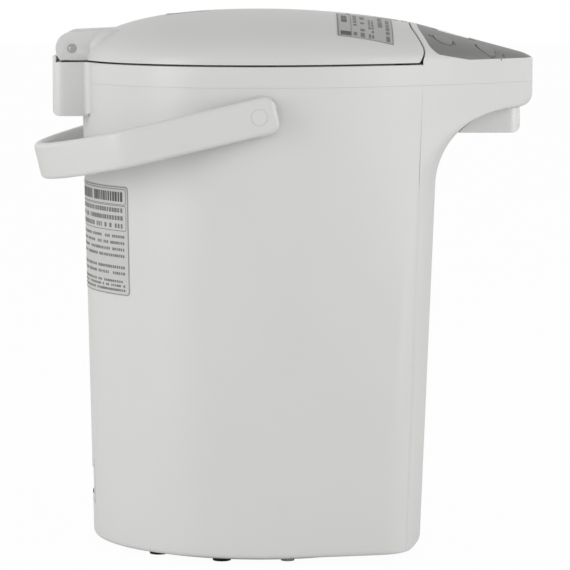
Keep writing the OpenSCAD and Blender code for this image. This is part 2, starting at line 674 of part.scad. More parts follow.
module container_seal() {
  color("dimgray") translate([0, 0, rim_z + container_wall]) difference() {
    cylinder(r = rim_r, h = seam_z - rim_z - container_wall, $fn = 96);
    translate([0, 0, -e]) cylinder(r = container_r + 0.5, h = 10, $fn = 96);
  }
}

module heater_band() {
  r = container_r + container_wall;
  color("peru") difference() {
    translate([0, 0, container_z + 16]) cylinder(r = r + 1.8, h = 34, $fn = 96);
    translate([0, 0, container_z]) cylinder(r = r + 0.05, h = 60, $fn = 96);
    translate([-2, 0, container_z]) cube([4, 200, 60]);
  }
}

module thermostat() {
  color("tan") translate([22, 16, container_z - 7.5]) {
    cylinder(r = 9, h = 7.4);
    for (s = [-1, 1]) translate([s * 5 - 1.5, -0.4, -7]) cube([3, 0.8, 7.1]);
  }
}

module insulation_jacket() {
  color("khaki") translate([0, 0, chassis_z + chassis_t]) difference() {
    cylinder(r = jacket_r + jacket_t, h = rim_z - 3 - chassis_z - chassis_t, $fn = 96);
    translate([0, 0, -e]) cylinder(r = jacket_r, h = 400, $fn = 96);
  }
}

module inner_shield() {
  low = chassis_z + chassis_t;
  color("lightsteelblue") rotate_extrude($fn = 96) polygon([[shield_r, low], [shield_r + shield_t, low],
    [shield_r + shield_t, rim_z], [rim_r - 6, rim_z], [rim_r - 6, rim_z - shield_t],
    [shield_r, rim_z - shield_t]]);
}

chassis_hole = 46;
chassis_posts = [for (a = [30, 150, 215, 325]) 70 * [cos(a), sin(a)]];
module chassis_plate() {
  color("gainsboro") difference() {
    translate([0, 0, chassis_z]) cylinder(r = shield_r + shield_t, h = chassis_t, $fn = 96);
    translate([0, -10, chassis_z - e]) cylinder(r = chassis_hole, h = chassis_t + 2 * e, $fn = 96);
    for (p = chassis_posts) translate([p[0], p[1], 0]) cylinder(r = 1.6, h = 100, $fn = 24);
  }
}

// ---- pump --------------------------------------------------------------------------------------------------

shaft_r = 1.5;
inlet_r = 4.2;
module at_pump(z) { translate([0, -pump_y, z]) children(); }

module pump_housing() {
  color("whitesmoke") difference() {
    union() {
      at_pump(pump_z) cylinder(r = pump_r, h = 15);
      at_pump(pump_z + 14.9) cylinder(r = stub_r, h = 6);
      at_pump(outlet_z) rotate([90, 0, 0]) cylinder(r = gauge_r + sleeve_t, h = pump_r + 6);
    }
    at_pump(pump_z + 2) cylinder(r = pump_r - 3, h = 11);
    at_pump(pump_z - 1) cylinder(r = shaft_r + fit, h = 10);
    at_pump(pump_z + 10) cylinder(r = inlet_r, h = 30);
    at_pump(outlet_z) rotate([90, 0, 0]) cylinder(r = gauge_r, h = 60);
  }
}

motor_r = 16;
module pump_motor() {
  color("slategray") difference() {
    union() {
      at_pump(floor_top + 2) cylinder(r = motor_r, h = pump_z - floor_top - 2);
      at_pump(floor_top + e) cylinder(r = 7, h = 2.1);
    }
    at_pump(floor_top + 6) cylinder(r = shaft_r + fit, h = 60);
  }
}

module pump_impeller() {
  low = pump_z + 3;
  color("steelblue") {
    at_pump(floor_top + 6.5) cylinder(r = shaft_r, h = low + 6 - floor_top - 6.5);
    at_pump(low) cylinder(r = pump_r - 5, h = 1.4);
    at_pump(low) cylinder(r = 3.4, h = 6);
    at_pump(low + 1.3) for (a = [0:60:300]) rotate(a) translate([2.5, -0.7, 0]) cube([pump_r - 9, 1.4, 4.4]);
  }
}

module suction_hose() {
  color("dimgray") at_pump(pump_z + 16) hollow(stub_r + 2, stub_r + 0.02, container_z - 0.6 - pump_z - 16);
}

// ---- electrics -----------------------------------------------------------------------------------------------

module power_board() {
  color("seagreen") difference() {
    translate([-48, 22, floor_top + 6]) cube([96, 46, 1.6]);
    for (p = board_posts) translate([p[0], p[1], 0]) cylinder(r = 1.5, h = 60, $fn = 24);
  }
}
board_posts = [[-43, 27], [43, 27], [-43, 63], [43, 63]];

module power_components() {
  low = floor_top + 7.6 + e;
  color("goldenrod") translate([-38, 32, low]) cube([28, 24, 20]);
  color("dimgray") translate([0, 34, low]) cube([18, 11, 15]);
  color("silver") translate([27, 30, low]) cube([3, 30, 22]);
  color("black") for (x = [2, 14]) translate([x, 56, low]) cylinder(r = 5, h = 16);
}

board_t = 1.6;
board_slope = atan(panel_fall);
board_margin = 9;              // between the board and the nose's side
board_drop = 16.13;            // depth of the board below the panel's ridge
function board_z(y) = lid_z + lid_crown - crest_y * crest_y / (2 * crest_arc) - (-y - crest_y) * panel_fall - board_drop;
module control_board() {
  color("seagreen") intersection() {
    translate([0, window_y, board_z(window_y)]) rotate([board_slope, 0, 0]) translate([-body_r, -80, 0])
      cube([2 * body_r, 120, board_t * cos(board_slope)]);
    translate([0, 0, seam_z + 2]) linear_extrude(60) intersection() {
      polygon(closed(rim_half(board_margin)));
      translate([-body_r, -2 * body_r]) square([2 * body_r, 2 * body_r + edge_y - board_margin + 1]);
    }
  }
}

module tact_switches() {
  color("dimgray") for (b = buttons) {
    p = stem_foot(b);
    translate([p[0], p[1], board_z(p[1]) + board_t + e]) rotate([board_slope, 0, 0]) {
      translate([-3, -3, 0]) cube([6, 6, switch_h - 0.7]);
      cylinder(r = 1.5, h = switch_h - 0.1);
    }
  }
}

inlet_z = 38;
inlet_w = 46;
inlet_h = 26;
inlet_face = body_r_at(inlet_z) - 2.1;
module inlet_block(grow) {
  translate([-inlet_w / 2 - grow, inlet_face - 18, inlet_z - inlet_h / 2 - grow])
    cube([inlet_w + 2 * grow, 26, inlet_h + 2 * grow]);
}
module power_inlet() {
  color("dimgray") difference() {
    // its face is flush with the round rear
    intersection() {
      inlet_block(0);
      cylinder(r = body_r_at(inlet_z - inlet_h / 2) - 0.15, h = 100, $fn = 180);
    }
    translate([-18, inlet_face - 10, inlet_z - 8]) cube([36, 20, 16]);
    for (s = [-1, 1]) translate([s * 8, inlet_face, inlet_z]) rotate([90, 0, 0]) cylinder(r = 2.02, h = 60);
  }
}
module inlet_pins() {
  color("gold") for (s = [-1, 1]) translate([s * 8, inlet_face - 4, inlet_z]) rotate([90, 0, 0]) cylinder(r = 2, h = 20);
}

// ---- base ------------------------------------------------------------------------------------------------------

floor_z = foot_z + 1.4;        // under side of the base cover
floor_t = 2.4;
floor_top = floor_z + floor_t;
base_top = floor_z - near;
cover_in = wall + 2 * near;    // the cover lies inside the body's walls
screw_spots = [for (a = [45, 135, 225, 315]) 72 * [cos(a), sin(a)]];

module base_cover() {
  color("gainsboro") difference() {
    union() {
      translate([0, 0, floor_z]) linear_extrude(floor_t)
        polygon(closed(body_half(foot_z + 2, front_y_at(foot_z + 2) + cover_in, corner_at(foot_z), cover_in)));
      for (p = chassis_posts) translate([p[0], p[1], floor_z]) cylinder(r = 5, h = chassis_z - floor_z);
      for (p = board_posts) translate([p[0], p[1], floor_z]) cylinder(r = 3, h = floor_t + 6);
    }
    translate([0, 0, floor_z - e]) cylinder(r = hub_r + fit, h = floor_t + 2 * e, $fn = 96);
    for (p = screw_spots) translate([p[0], p[1], 0]) cylinder(r = 1.8, h = 60);
    for (p = chassis_posts) translate([p[0], p[1], chassis_z - 12]) cylinder(r = 1.6, h = 30, $fn = 24);
    for (p = board_posts) translate([p[0], p[1], floor_top + 1]) cylinder(r = 1.5, h = 30, $fn = 24);
  }
}

module base_screws() {
  color("silver") {
    for (p = chassis_posts) translate([p[0], p[1], chassis_z]) {
      translate([0, 0, chassis_t + e]) cylinder(r = 3, h = 1.8);
      translate([0, 0, -10]) cylinder(r = 1.5, h = 13);
    }
    for (p = board_posts) translate([p[0], p[1], floor_top + 7.6]) {
      translate([0, 0, e]) cylinder(r = 2.6, h = 1.6);
      translate([0, 0, -6]) cylinder(r = 1.4, h = 6.5);
    }
  }
}

pad_h = 1.9;
pad_turn = 14.6;               // bearing of the first pad
glide_r = 4;
glide_turns = [191, 349];      // bearings of two plain glides, each in a pad's place
module turning_base() {
  color("darkgray") difference() {
    union() {
      translate([0, 0, pad_h]) cylinder(r = base_r, h = base_top - pad_h, $fn = 120);
      translate([0, 0, pad_h]) cylinder(r = hub_r, h = floor_top + 0.15 - pad_h, $fn = 96);
      for (a = glide_turns) rotate(a) translate([pad_ring_r, 0, 0.2]) cylinder(r = glide_r, h = pad_h, $fn = 32);
    }
    translate([0, 0, pad_h + 1.6]) cylinder(r = hub_r - 2.4, h = 60, $fn = 96);
    translate([0, 0, base_top - 1.3]) difference() {
      cylinder(r = base_r - 3, h = 3, $fn = 120);
      cylinder(r = hub_r + 4, h = 3, $fn = 96);
      for (a = [0:30:330]) rotate(a) translate([0, -0.8, 0]) cube([base_r, 1.6, 3]);
    }
  }
}

module base_retainer() {
  color("silver") translate([0, 0, floor_top + 0.15]) difference() {
    cylinder(r = hub_r + 5, h = 1.4, $fn = 96);
    translate([0, 0, -e]) cylinder(r = hub_r - 2.4, h = 5, $fn = 96);
  }
}

module rubber_pads() {
  turns = [for (i = [0:pad_count - 1]) pad_turn + i * 360 / pad_count];
  color("black") for (a = turns)
    if (min([for (g = glide_turns) abs(a - g)]) > 8) rotate(a) translate([pad_ring_r, 0, 0])
      cylinder(r = pad_d / 2, h = pad_h);
}

// ---- handle ------------------------------------------------------------------------------------------------------

arm_gap = 0.5;                 // between a boss and the handle's arm
boss_r = 12.5;
boss_spigot_r = 8;
boss_face = body_r + 1.7;
arm_in = boss_face + arm_gap;
arm_out = arm_in + strap_t;
pivot_r = 5;
bail_reach = body_r + bail_gap + strap_t;
bail_end = 10.8;               // length of the strap's arms ahead of the pivots
bail_end_r = 6.5;
bail_corner = 30;
bail_arc = 150;
bail_c = [0, bail_reach - bail_arc];

module boss_axis(s) { translate([s * body_r, 0, pivot_z]) rotate([0, 90, 0]) children(); }

module handle_bosses() {
  color(white) for (s = [-1, 1]) difference() {
    union() {
      translate([s * (body_r + boss_face) / 2, 0, pivot_z]) rotate([0, 90, 0])
        cylinder(r = boss_r, h = boss_face - body_r, center = true);
      translate([s * (body_r - 2), 0, pivot_z]) rotate([0, 90, 0]) cylinder(r = boss_spigot_r, h = 6, center = true);
    }
    boss_axis(s) cylinder(r = pivot_r - 2 + 0.02, h = 60, center = true);
  }
}

module handle_pivots() {
  color("silver") for (s = [-1, 1]) rotate(s > 0 ? 0 : 180) translate([body_r - 7, 0, pivot_z]) rotate([0, 90, 0]) {
    cylinder(r = pivot_r - 2, h = boss_face - body_r + 7 + 0.1);
    translate([0, 0, boss_face - body_r + 7.05]) cylinder(r = pivot_r, h = arm_gap + strap_t - 0.2);
    translate([0, 0, -1.5 + e]) cylinder(r = pivot_r, h = 1.5);
  }
}

// half plan of the strap, from the pivot's end to the middle of the rear
function bail_half(w) =
  let (x = arm_out - w, rc = bail_corner - w, ra = bail_arc - w,
       cc = [x - rc, bail_c[1] + sqrt(pow(ra - rc, 2) - pow(x - rc, 2))], a = bearing(bail_c, cc))
  concat([[x, -strap_h]], arc(cc, rc, 0, a, 8), rest(arc(bail_c, ra, a, 90, 12)));
function bail_plan(w) = let (h = bail_half(w)) concat(h, rest(reversed(mirrored(h))));

module handle_bail() {
  color("gainsboro") translate([0, 0, pivot_z]) rotate([-bail_droop, 0, 0]) difference() {
    intersection() {
      linear_extrude(strap_h, center = true) difference() {
        polygon(bail_plan(0));
        polygon(bail_plan(strap_t));
      }
      rotate([0, 90, 0]) linear_extrude(400, center = true) union() {
        translate([-strap_h / 2, bail_end_r - bail_end]) square([strap_h, bail_reach + 20]);
        translate([bail_end_r - strap_h / 2, -bail_end]) square([strap_h - 2 * bail_end_r, 2 * bail_end_r]);
        for (s = [-1, 1]) translate([s * (strap_h / 2 - bail_end_r), bail_end_r - bail_end]) circle(r = bail_end_r);
      }
    }
    rotate([0, 90, 0]) cylinder(r = pivot_r + fit, h = 400, center = true);
  }
}

// ---- lid ---------------------------------------------------------------------------------------------------------

lid_skin = 2.6;
lid_steps = [1, 0.985, 0.95, 0.89, 0.8, 0.67, 0.5, 0.28];
tab_z = pin_z + barrel_r;      // top of the hinge tab
liner_in = 15;
tab_start = pin_y - 28.7;      // the tab's top comes out of the dome here
tab_front = body_r - liner_in + near;
tab_wall = 3;
vent_y = 44.8;
vent_l = 27.7;
vent_w = 34;

module lid_dome() {
  kx = 1 - lid_skin / body_r;
  kz = 1 - lid_skin / lid_crown;
  plan = closed(lid_half(0));
  rings = [for (s = lid_steps) draped(plan * s, 0)];
  cap(rings, [for (r = rings) [for (p = r) [p[0] * kx, p[1] * kx, lid_z + (p[2] - lid_z) * kz]]],
      [0, 0, lid_z + lid_crown], [0, 0, lid_z + lid_crown * kz]);
}

module tab_profile(w) {
  intersection() {
    union() {
      translate([pin_y, pin_z]) circle(r = barrel_r - w);
      polygon([[pin_y, tab_z - w], [tab_start, tab_z + 1.3 - w], [tab_start, lid_z - 20], [pin_y, lid_z - 20]]);
    }
    translate([0, w > 0 ? lid_z - 30 : lid_z]) square([400, 100]);
  }
}

module rounded_slot(l, w, h, r) {
  linear_extrude(h, center = true) union() {
    square([w - 2 * r, l], center = true);
    square([w, l - 2 * r], center = true);
    for (x = [-1, 1], y = [-1, 1]) translate([x * (w / 2 - r), y * (l / 2 - r)]) circle(r = r, $fn = 32);
  }
}

module lid_cover() {
  color(white) difference() {
    union() {
      lid_dome();
      along_x(tab_half) difference() {
        tab_profile(0);
        // ahead of its front wall the tab is only a thickening of the dome
        square([tab_front, lid_z + 0.52 * lid_crown]);
      }
    }
    along_x(tab_half - tab_wall) intersection() {
      tab_profile(lid_skin);
      translate([tab_front + lid_skin, lid_z - 40]) square([60, 100]);
    }
    // the barrel is open below, for the lugs as the lid swings
    along_x(lug_out + 1) translate([pin_y, pin_z]) polygon([[0, 0], [30, -23.4], [30, -40], [0, -40]]);
    translate([0, pin_y, pin_z]) rotate([0, 90, 0]) cylinder(r = pin_r + fit, h = 200, center = true);
    translate([0, vent_y, lid_z + lid_crown]) rounded_slot(vent_l, vent_w, 30, 5);
    lever_frame() translate([-lever_half - 2.7, -lever_l - 2.6, -9]) cube([2 * lever_half + 5.4, lever_l + 3.4, 30]);
  }
}

liner_low = seam_z + deck_t + 2;
liner_top = lid_z + 4;
module lid_liner() {
  color("gainsboro") difference() {
    translate([0, 0, liner_low]) linear_extrude(liner_top - liner_low) polygon(closed(lid_half(liner_in)));
    translate([0, 0, liner_low + 2]) linear_extrude(40) polygon(closed(lid_half(liner_in + 2)));
    translate([0, vent_y, 0]) cylinder(r = 5, h = 400);
  }
}

module lid_gasket() {
  color("lightgray") translate([0, 0, seam_z + deck_t + near]) difference() {
    cylinder(r = mouth_r + 5, h = liner_low - seam_z - deck_t - near, $fn = 96);
    translate([0, 0, -e]) cylinder(r = mouth_r - 2, h = 10, $fn = 96);
  }
}

vent_top = top_z([0, vent_y]) - 1.3;
module steam_vent() {
  color("lightgray") difference() {
    union() {
      translate([0, vent_y, vent_top - 1.2]) rounded_slot(vent_l - 0.4, vent_w - 0.4, 2.4, 4.8);
      translate([0, vent_y, vent_top - 7]) cylinder(r = 9.4, h = 5);
    }
    for (i = [-2:2]) translate([0, vent_y + i * 4.2, vent_top]) cube([16, 1.8, 40], center = true);
    translate([0, vent_y, vent_top - 40]) cylinder(r = 7.6, h = 37.6);
  }
}

module steam_duct() {
  low = liner_low + 2;
  color("whitesmoke") translate([0, vent_y, low]) difference() {
    cylinder(r = 7.5, h = vent_top - 2.5 - low);
    translate([0, 0, -e]) cylinder(r = 5.5, h = 100);
  }
}

module hinge_pin() {
  color("silver") pin_axis() difference() {
    cylinder(r = pin_r, h = 2 * tab_half - 0.4, center = true);
    for (s = [-1, 1]) translate([0, 0, s * tab_half]) cylinder(r = 0.9, h = 5, center = true);
  }
}

// ---- lid lever and catch -----------------------------------------------------------------------------------------

lever_y = -52;
lever_l = 36;
lever_half = 15.3;
lever_top = top_z([0, lever_y]);
lever_tilt = atan((lever_top - top_z([0, lever_y - lever_l])) / lever_l);
lever_pin_r = 1.5;
well_h = 9.4;
pin_back = 5.6;                // the lever's pin, in its tilted frame
pin_drop = 3;
arm_l = 12.6;                  // from the lever's pin down to the catch
lever_pin_at = [0, lever_y - pin_back * cos(lever_tilt) + pin_drop * sin(lever_tilt),
                lever_top - pin_back * sin(lever_tilt) - pin_drop * cos(lever_tilt)];
latch_z = lever_pin_at[2] - arm_l;     // middle of the catch's plate
latch_front = -87.4;

module lever_frame() { translate([0, lever_y, lever_top]) rotate([lever_tilt, 0, 0]) children(); }
module lever_pin_axis() { translate(lever_pin_at) rotate([0, 90, 0]) children(); }

module lever_well() {
  w = lever_half + 2.4;
  color("lightgray") difference() {
    union() {
      lever_frame() difference() {
        translate([-w, -lever_l - 2.3, -well_h]) cube([2 * w, lever_l + 2.8, well_h - 0.6]);
        translate([-lever_half - 0.4, -lever_l - 0.8, -well_h + 2]) cube([2 * lever_half + 0.8, lever_l - 0.2, well_h]);
        translate([-3.2, -13, -well_h - 1]) cube([6.4, 11, 10]);
      }
      // rails that guide the catch
      for (s = [-1, 1]) translate([s * 8.6, 0, 0]) {
        translate([-1, -84, latch_z - 1.6]) cube([2, 34, 5.4]);
        translate([s > 0 ? -3 : -1, -84, latch_z - 2.6]) cube([4, 34, 1.1]);
      }
    }
    lever_pin_axis() cylinder(r = lever_pin_r + 0.02, h = 100, center = true);
  }
}

module lever_pin() {
  color("silver") lever_pin_axis() cylinder(r = lever_pin_r, h = 2 * lever_half + 4, center = true);
}

module lid_lever() {
  color("lightgray") difference() {
    union() {
      lever_frame() {
        translate([-lever_half, -lever_l + 0.8, -3.4]) cube([2 * lever_half, lever_l - 3.4, 3.1]);
        translate([-lever_half, -lever_l + 0.8, -6.2]) cube([2 * lever_half, 2, 4.5]);
      }
      lever_pin_axis() cylinder(r = 2.5, h = 2 * lever_half, center = true);
      translate([-2, lever_pin_at[1] - 1.5, latch_z]) cube([4, 3, arm_l]);
      translate([0, lever_pin_at[1], latch_z]) rotate([0, 90, 0]) cylinder(r = 1.5, h = 4, center = true);
    }
    lever_pin_axis() cylinder(r = lever_pin_r + fit, h = 100, center = true);
  }
}

module lid_latch() {
  color("whitesmoke") difference() {
    union() {
      translate([-7.2, latch_front, latch_z - 1.3]) cube([14.4, lever_pin_at[1] + 6 - latch_front, 2.6]);
      translate([-6, latch_front, seam_z + 5.5]) cube([12, 2.4, latch_z - seam_z - 5.5]);
      translate([-6, latch_front, seam_z + 5.5]) cube([12, 4.6, 2]);
    }
    translate([-2.6, lever_pin_at[1] - 2, latch_z - 5]) cube([5.2, 4, 10]);
  }
}

body_shell();
front_cover();
upper_frame();
control_panel();
display_window();
button(0);  // warm_button
button(1);  // lock_button
button(2);  // boil_button
button(3);  // pour_button
spout_housing();
spout_nozzle();
gauge_window();
gauge_tube();
upper_pipe();
lower_pipe();
inner_container();
container_floor();
container_seal();
heater_band();
thermostat();
insulation_jacket();
inner_shield();
chassis_plate();
pump_housing();
pump_motor();
pump_impeller();
suction_hose();
power_board();
power_components();
control_board();
tact_switches();
power_inlet();
inlet_pins();
base_cover();
base_screws();
turning_base();
base_retainer();
rubber_pads();
handle_bosses();
handle_pivots();
handle_bail();
lid_striker();
lid_cover();
lid_liner();
lid_gasket();
steam_vent();
steam_duct();
hinge_pin();
lever_well();
lever_pin();
lid_lever();
lid_latch();
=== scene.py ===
# Electric thermo pot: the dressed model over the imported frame. Sizes in the dictionaries are millimetres.
import json
import math

import bmesh
import bpy
import numpy as np
from mathutils import Euler, Matrix, Vector


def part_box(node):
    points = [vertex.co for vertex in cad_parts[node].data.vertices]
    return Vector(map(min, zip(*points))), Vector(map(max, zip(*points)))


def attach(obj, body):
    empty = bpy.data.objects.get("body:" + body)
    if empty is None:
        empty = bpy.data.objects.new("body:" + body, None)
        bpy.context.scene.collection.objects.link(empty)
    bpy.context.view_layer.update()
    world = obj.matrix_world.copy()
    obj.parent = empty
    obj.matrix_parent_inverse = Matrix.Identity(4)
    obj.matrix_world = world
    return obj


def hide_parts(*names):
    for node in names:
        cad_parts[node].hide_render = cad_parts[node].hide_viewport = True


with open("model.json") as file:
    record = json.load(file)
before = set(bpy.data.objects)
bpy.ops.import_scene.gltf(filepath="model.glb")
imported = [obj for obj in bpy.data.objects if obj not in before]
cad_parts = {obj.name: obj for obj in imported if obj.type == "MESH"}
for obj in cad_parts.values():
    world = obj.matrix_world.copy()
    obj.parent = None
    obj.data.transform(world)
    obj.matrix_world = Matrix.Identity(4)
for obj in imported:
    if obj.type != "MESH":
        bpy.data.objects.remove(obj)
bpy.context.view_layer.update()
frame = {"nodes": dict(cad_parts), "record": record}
scene = bpy.context.scene
scene.view_settings.view_transform = "Standard"

# camera, at the photograph's place
view = dict(place=(-2.18, -0.015, 0.3825), tilt=84.123, turn=-90, lens=222.4, sensor=36)
studioCamera = bpy.data.objects.new("studioCamera", bpy.data.cameras.new("studioCamera"))
studioCamera.data.lens = view["lens"]
studioCamera.data.sensor_width = view["sensor"]
studioCamera.location = view["place"]
studioCamera.rotation_euler = Euler((math.radians(view["tilt"]), 0, math.radians(view["turn"])))
scene.collection.objects.link(studioCamera)
scene.camera = studioCamera
print("camera placed")


# plan outlines, the same rules as the solid model
body = dict(rim=110.4, draft=6, wall=2.4, foot=4, seam=285.5, reach=99.2, lean=2.26, gap=0.04, edge=0.06,
            footTurn=11, footSide=1500, footCorner=26, archCorner=18, sharp=1.2, frontCrown=300,
            partReach=88, partLean=0.033)
nose = dict(reach=168, tip=30, floor=270, lip=10.1, outletBack=27, outlet=6.6, turn=20, skin=3.4)
lid = dict(crown=30.3, gap=1.1, band=13.6, pinOut=4.2, pinRise=7.1, barrel=10.1, pin=2.88, tabHalf=33.5,
           tabRun=28.7, skin=2.6, corner=7, edgeFlat=30, edgeRadius=110, edgeY=-91.8, edgeGap=0.8,
           crestY=93.4, crestArc=527, fall=0.2666)
panel = dict(border=4.1, corner=5, side=160, depth=1.5, edge=1, turnShare=0.74)
lidZ = body["seam"] + lid["band"]
frameTop = lidZ - lid["gap"]
pinY, pinZ = body["rim"] + lid["pinOut"], lidZ + lid["pinRise"]
leanTan = math.tan(math.radians(body["lean"]))
archY = nose["lip"] - nose["reach"]
archRadius = (-archY - body["reach"] - nose["floor"] * leanTan) / (1 - leanTan)
archHeight = nose["floor"] - archRadius
noseTurn = math.radians(nose["turn"])
tipCentre = np.array([0, nose["tip"] - nose["reach"]])


def polar(centre, radius, angle):
    a = np.radians(angle)
    return np.array(centre) + radius * np.array([np.cos(a), np.sin(a)])


def arc(centre, radius, start, end, count):
    a = np.radians(np.linspace(start, end, count + 1))
    return np.stack([centre[0] + radius * np.cos(a), centre[1] + radius * np.sin(a)], 1)


def straight(a, b, count):
    return np.linspace(a, b, count + 1)


def bearing(a, b):
    return math.degrees(math.atan2(b[1] - a[1], b[0] - a[0]))


def meet(c1, r1, c2, r2, side):
    # where two circles cross; side picks one of the two places
    c1, c2 = np.array(c1, float), np.array(c2, float)
    d = np.linalg.norm(c2 - c1)
    u = (c2 - c1) / d
    a = (r1 * r1 - r2 * r2 + d * d) / (2 * d)
    h = math.sqrt(max(0, r1 * r1 - a * a))
    return c1 + a * u + side * h * np.array([u[1], -u[0]])


def joined(*parts):
    return np.concatenate([parts[0]] + [p[1:] for p in parts[1:]])


def sideRadius(r):
    # radius of the nose's side, tangent to the round body and to the tip
    c, g = nose["reach"] - nose["tip"], r - nose["tip"]
    return r + (c * c - g * g) / (2 * (g - c * math.sin(noseTurn)))


def sideCentre(r, side, turn):
    return (side - r) * np.array([-math.cos(math.radians(turn)), math.sin(math.radians(turn))])


def smooth(t):
    t = min(1, max(0, t))
    return t * t * (3 - 2 * t)


def mix(a, b, t):
    return a + (b - a) * t


rimSide = sideRadius(body["rim"])
rimCentre = sideCentre(body["rim"], rimSide, nose["turn"])
tipTurn = bearing(rimCentre, tipCentre)


def teardrop(r, w):
    side = sideRadius(r)
    centre = sideCentre(r, side, nose["turn"])
    turn = bearing(centre, tipCentre)
    return joined(arc((0, 0), r - w, 90, -nose["turn"], 70),
                  arc(centre, side - w, -nose["turn"], turn, 60),
                  arc(tipCentre, nose["tip"] - w, turn, -90, 30))


def bodyRadius(z):
    return body["rim"] - body["draft"] * (body["seam"] - z) / (body["seam"] - body["foot"])


def frontAt(z):
    return -(body["reach"] + z * leanTan)


def bodyHalf(z, front, corner, w):
    r, crown = bodyRadius(z), body["frontCrown"]
    b = smooth((z - 60) / (body["seam"] - 15 - 60))
    turn = mix(body["footTurn"], nose["turn"], b)
    side = 1 / mix(1 / body["footSide"], 1 / sideRadius(r), b)
    cs, rc, cf = sideCentre(r, side, turn), max(0.6, corner - w), np.array([0, front + crown])
    cc = meet(cs, side - w - rc, cf, crown - rc, 1)
    return joined(arc((0, 0), r - w, 90, -turn, 70), arc(cs, side - w, -turn, bearing(cs, cc), 60),
                  arc(cc, rc, bearing(cs, cc), bearing(cf, cc), 30), arc(cf, crown, bearing(cf, cc), -90, 20))


def swell(t):
    return np.sqrt(np.maximum(0, 1 - np.minimum(1, t) ** 2.5))


def halfWidth(y):
    y = np.asarray(y, float)
    tipStart = tipCentre[1] + nose["tip"] * math.sin(math.radians(tipTurn))
    rear = np.sqrt(np.maximum(0.01, body["rim"] ** 2 - y ** 2))
    side = rimCentre[0] + np.sqrt(np.maximum(0.01, rimSide ** 2 - (y - rimCentre[1]) ** 2))
    tip = np.sqrt(np.maximum(0.01, nose["tip"] ** 2 - (y - tipCentre[1]) ** 2))
    return np.where(y > -body["rim"] * math.sin(noseTurn), rear, np.where(y > tipStart, side, tip))


def ridge(y):
    d, crest, tipRun = -np.asarray(y, float), lid["crestY"], 8
    slope = lid["crown"] - crest ** 2 / (2 * lid["crestArc"]) - (d - crest) * lid["fall"]
    h = np.where(d < crest, lid["crown"] - d * d / (2 * lid["crestArc"]), slope)
    h = np.where(d <= 0, lid["crown"], h)
    tip = np.sqrt(np.maximum(0, 1 - ((d - nose["reach"] + tipRun) / tipRun) ** 2))
    return h * np.where(d < nose["reach"] - tipRun, 1, tip)


def topZ(p):
    # height of the one swelling surface that lid and nose share
    p = np.atleast_2d(p)
    back = lid["crown"] * swell(np.hypot(p[:, 0], p[:, 1]) / body["rim"])
    front = ridge(p[:, 1]) * swell(np.abs(p[:, 0]) / halfWidth(p[:, 1]))
    return lidZ + np.where(p[:, 1] >= 0, back, front)


def topNormal(x, y):
    gx = float((topZ((x + 0.5, y)) - topZ((x - 0.5, y)))[0])
    gy = float((topZ((x, y + 0.5)) - topZ((x, y - 0.5)))[0])
    return Vector((-gx, -gy, 1)).normalized()


edgeCentre = np.array([lid["edgeFlat"], lid["edgeY"] - lid["edgeRadius"]])
lidEdgeRadius = lid["edgeRadius"] + lid["edgeGap"]
cornerCentre = meet(rimCentre, rimSide - lid["corner"], edgeCentre, lidEdgeRadius + lid["corner"], -1)
panelTurn = mix(-nose["turn"], tipTurn, panel["turnShare"])
panelCentre = polar(rimCentre, rimSide - panel["side"], panelTurn)
horn = meet(rimCentre, rimSide, cornerCentre, lid["corner"] + lid["edgeGap"], 1)


def lidHalf(w):
    rc, y = max(1, lid["corner"] - w), lid["edgeY"] + lid["edgeGap"] + w
    cc = meet(rimCentre, rimSide - w - rc, edgeCentre, lidEdgeRadius + w + rc, -1)
    a = bearing(rimCentre, cc)
    return joined(arc((0, 0), body["rim"] - w, 90, -nose["turn"], 70),
                  arc(rimCentre, rimSide - w, -nose["turn"], a, 40),
                  arc(cc, rc, a, bearing(cc, edgeCentre), 16),
                  arc(edgeCentre, lidEdgeRadius + w, bearing(edgeCentre, cc), 90, 20),
                  straight((lid["edgeFlat"], y), (0, y), 12))


def noseHalf(w):
    rc, y = lid["corner"] + lid["edgeGap"] + w, lid["edgeY"] - w
    end = meet(rimCentre, rimSide - w, cornerCentre, rc, 1)
    return joined(straight((0, y), (lid["edgeFlat"], y), 12),
                  arc(edgeCentre, lid["edgeRadius"] - w, 90, bearing(edgeCentre, cornerCentre), 20),
                  arc(cornerCentre, rc, bearing(cornerCentre, edgeCentre), bearing(cornerCentre, end), 10),
                  arc(rimCentre, rimSide - w, bearing(rimCentre, end), tipTurn, 50),
                  arc(tipCentre, nose["tip"] - w, tipTurn, -90, 30))


def panelHalf(w):
    pr, side, rc = lid["edgeRadius"] - panel["border"] - w, panel["side"] - w, panel["corner"] - w
    cc, y = meet(panelCentre, side - rc, edgeCentre, pr - rc, -1), lid["edgeY"] - panel["border"] - w
    return joined(straight((0, y), (lid["edgeFlat"], y), 12),
                  arc(edgeCentre, pr, 90, bearing(edgeCentre, cc), 20),
                  arc(cc, rc, bearing(edgeCentre, cc), bearing(panelCentre, cc), 12),
                  arc(panelCentre, side, bearing(panelCentre, cc), panelTurn, 30),
                  arc(rimCentre, rimSide + 1, panelTurn, tipTurn, 16)[1:],
                  arc(tipCentre, nose["tip"] + 1, tipTurn, -90, 24))


def closed(half):
    return np.concatenate([half, half[-2:0:-1] * (-1, 1)])


# mesh helpers
def polyPiece(name, vertices, faces, material=None):
    mesh = bpy.data.meshes.new(name)
    points = [tuple(v) for v in np.asarray(vertices, float) / 1000]
    mesh.from_pydata(points, [], [tuple(int(i) for i in f) for f in faces])
    work = bmesh.new()
    work.from_mesh(mesh)
    bmesh.ops.remove_doubles(work, verts=work.verts, dist=1e-6)
    bmesh.ops.recalc_face_normals(work, faces=work.faces)
    work.to_mesh(mesh)
    work.free()
    piece = bpy.data.objects.new(name, mesh)
    scene.collection.objects.link(piece)
    return shade(painted(piece, material) if material else piece)


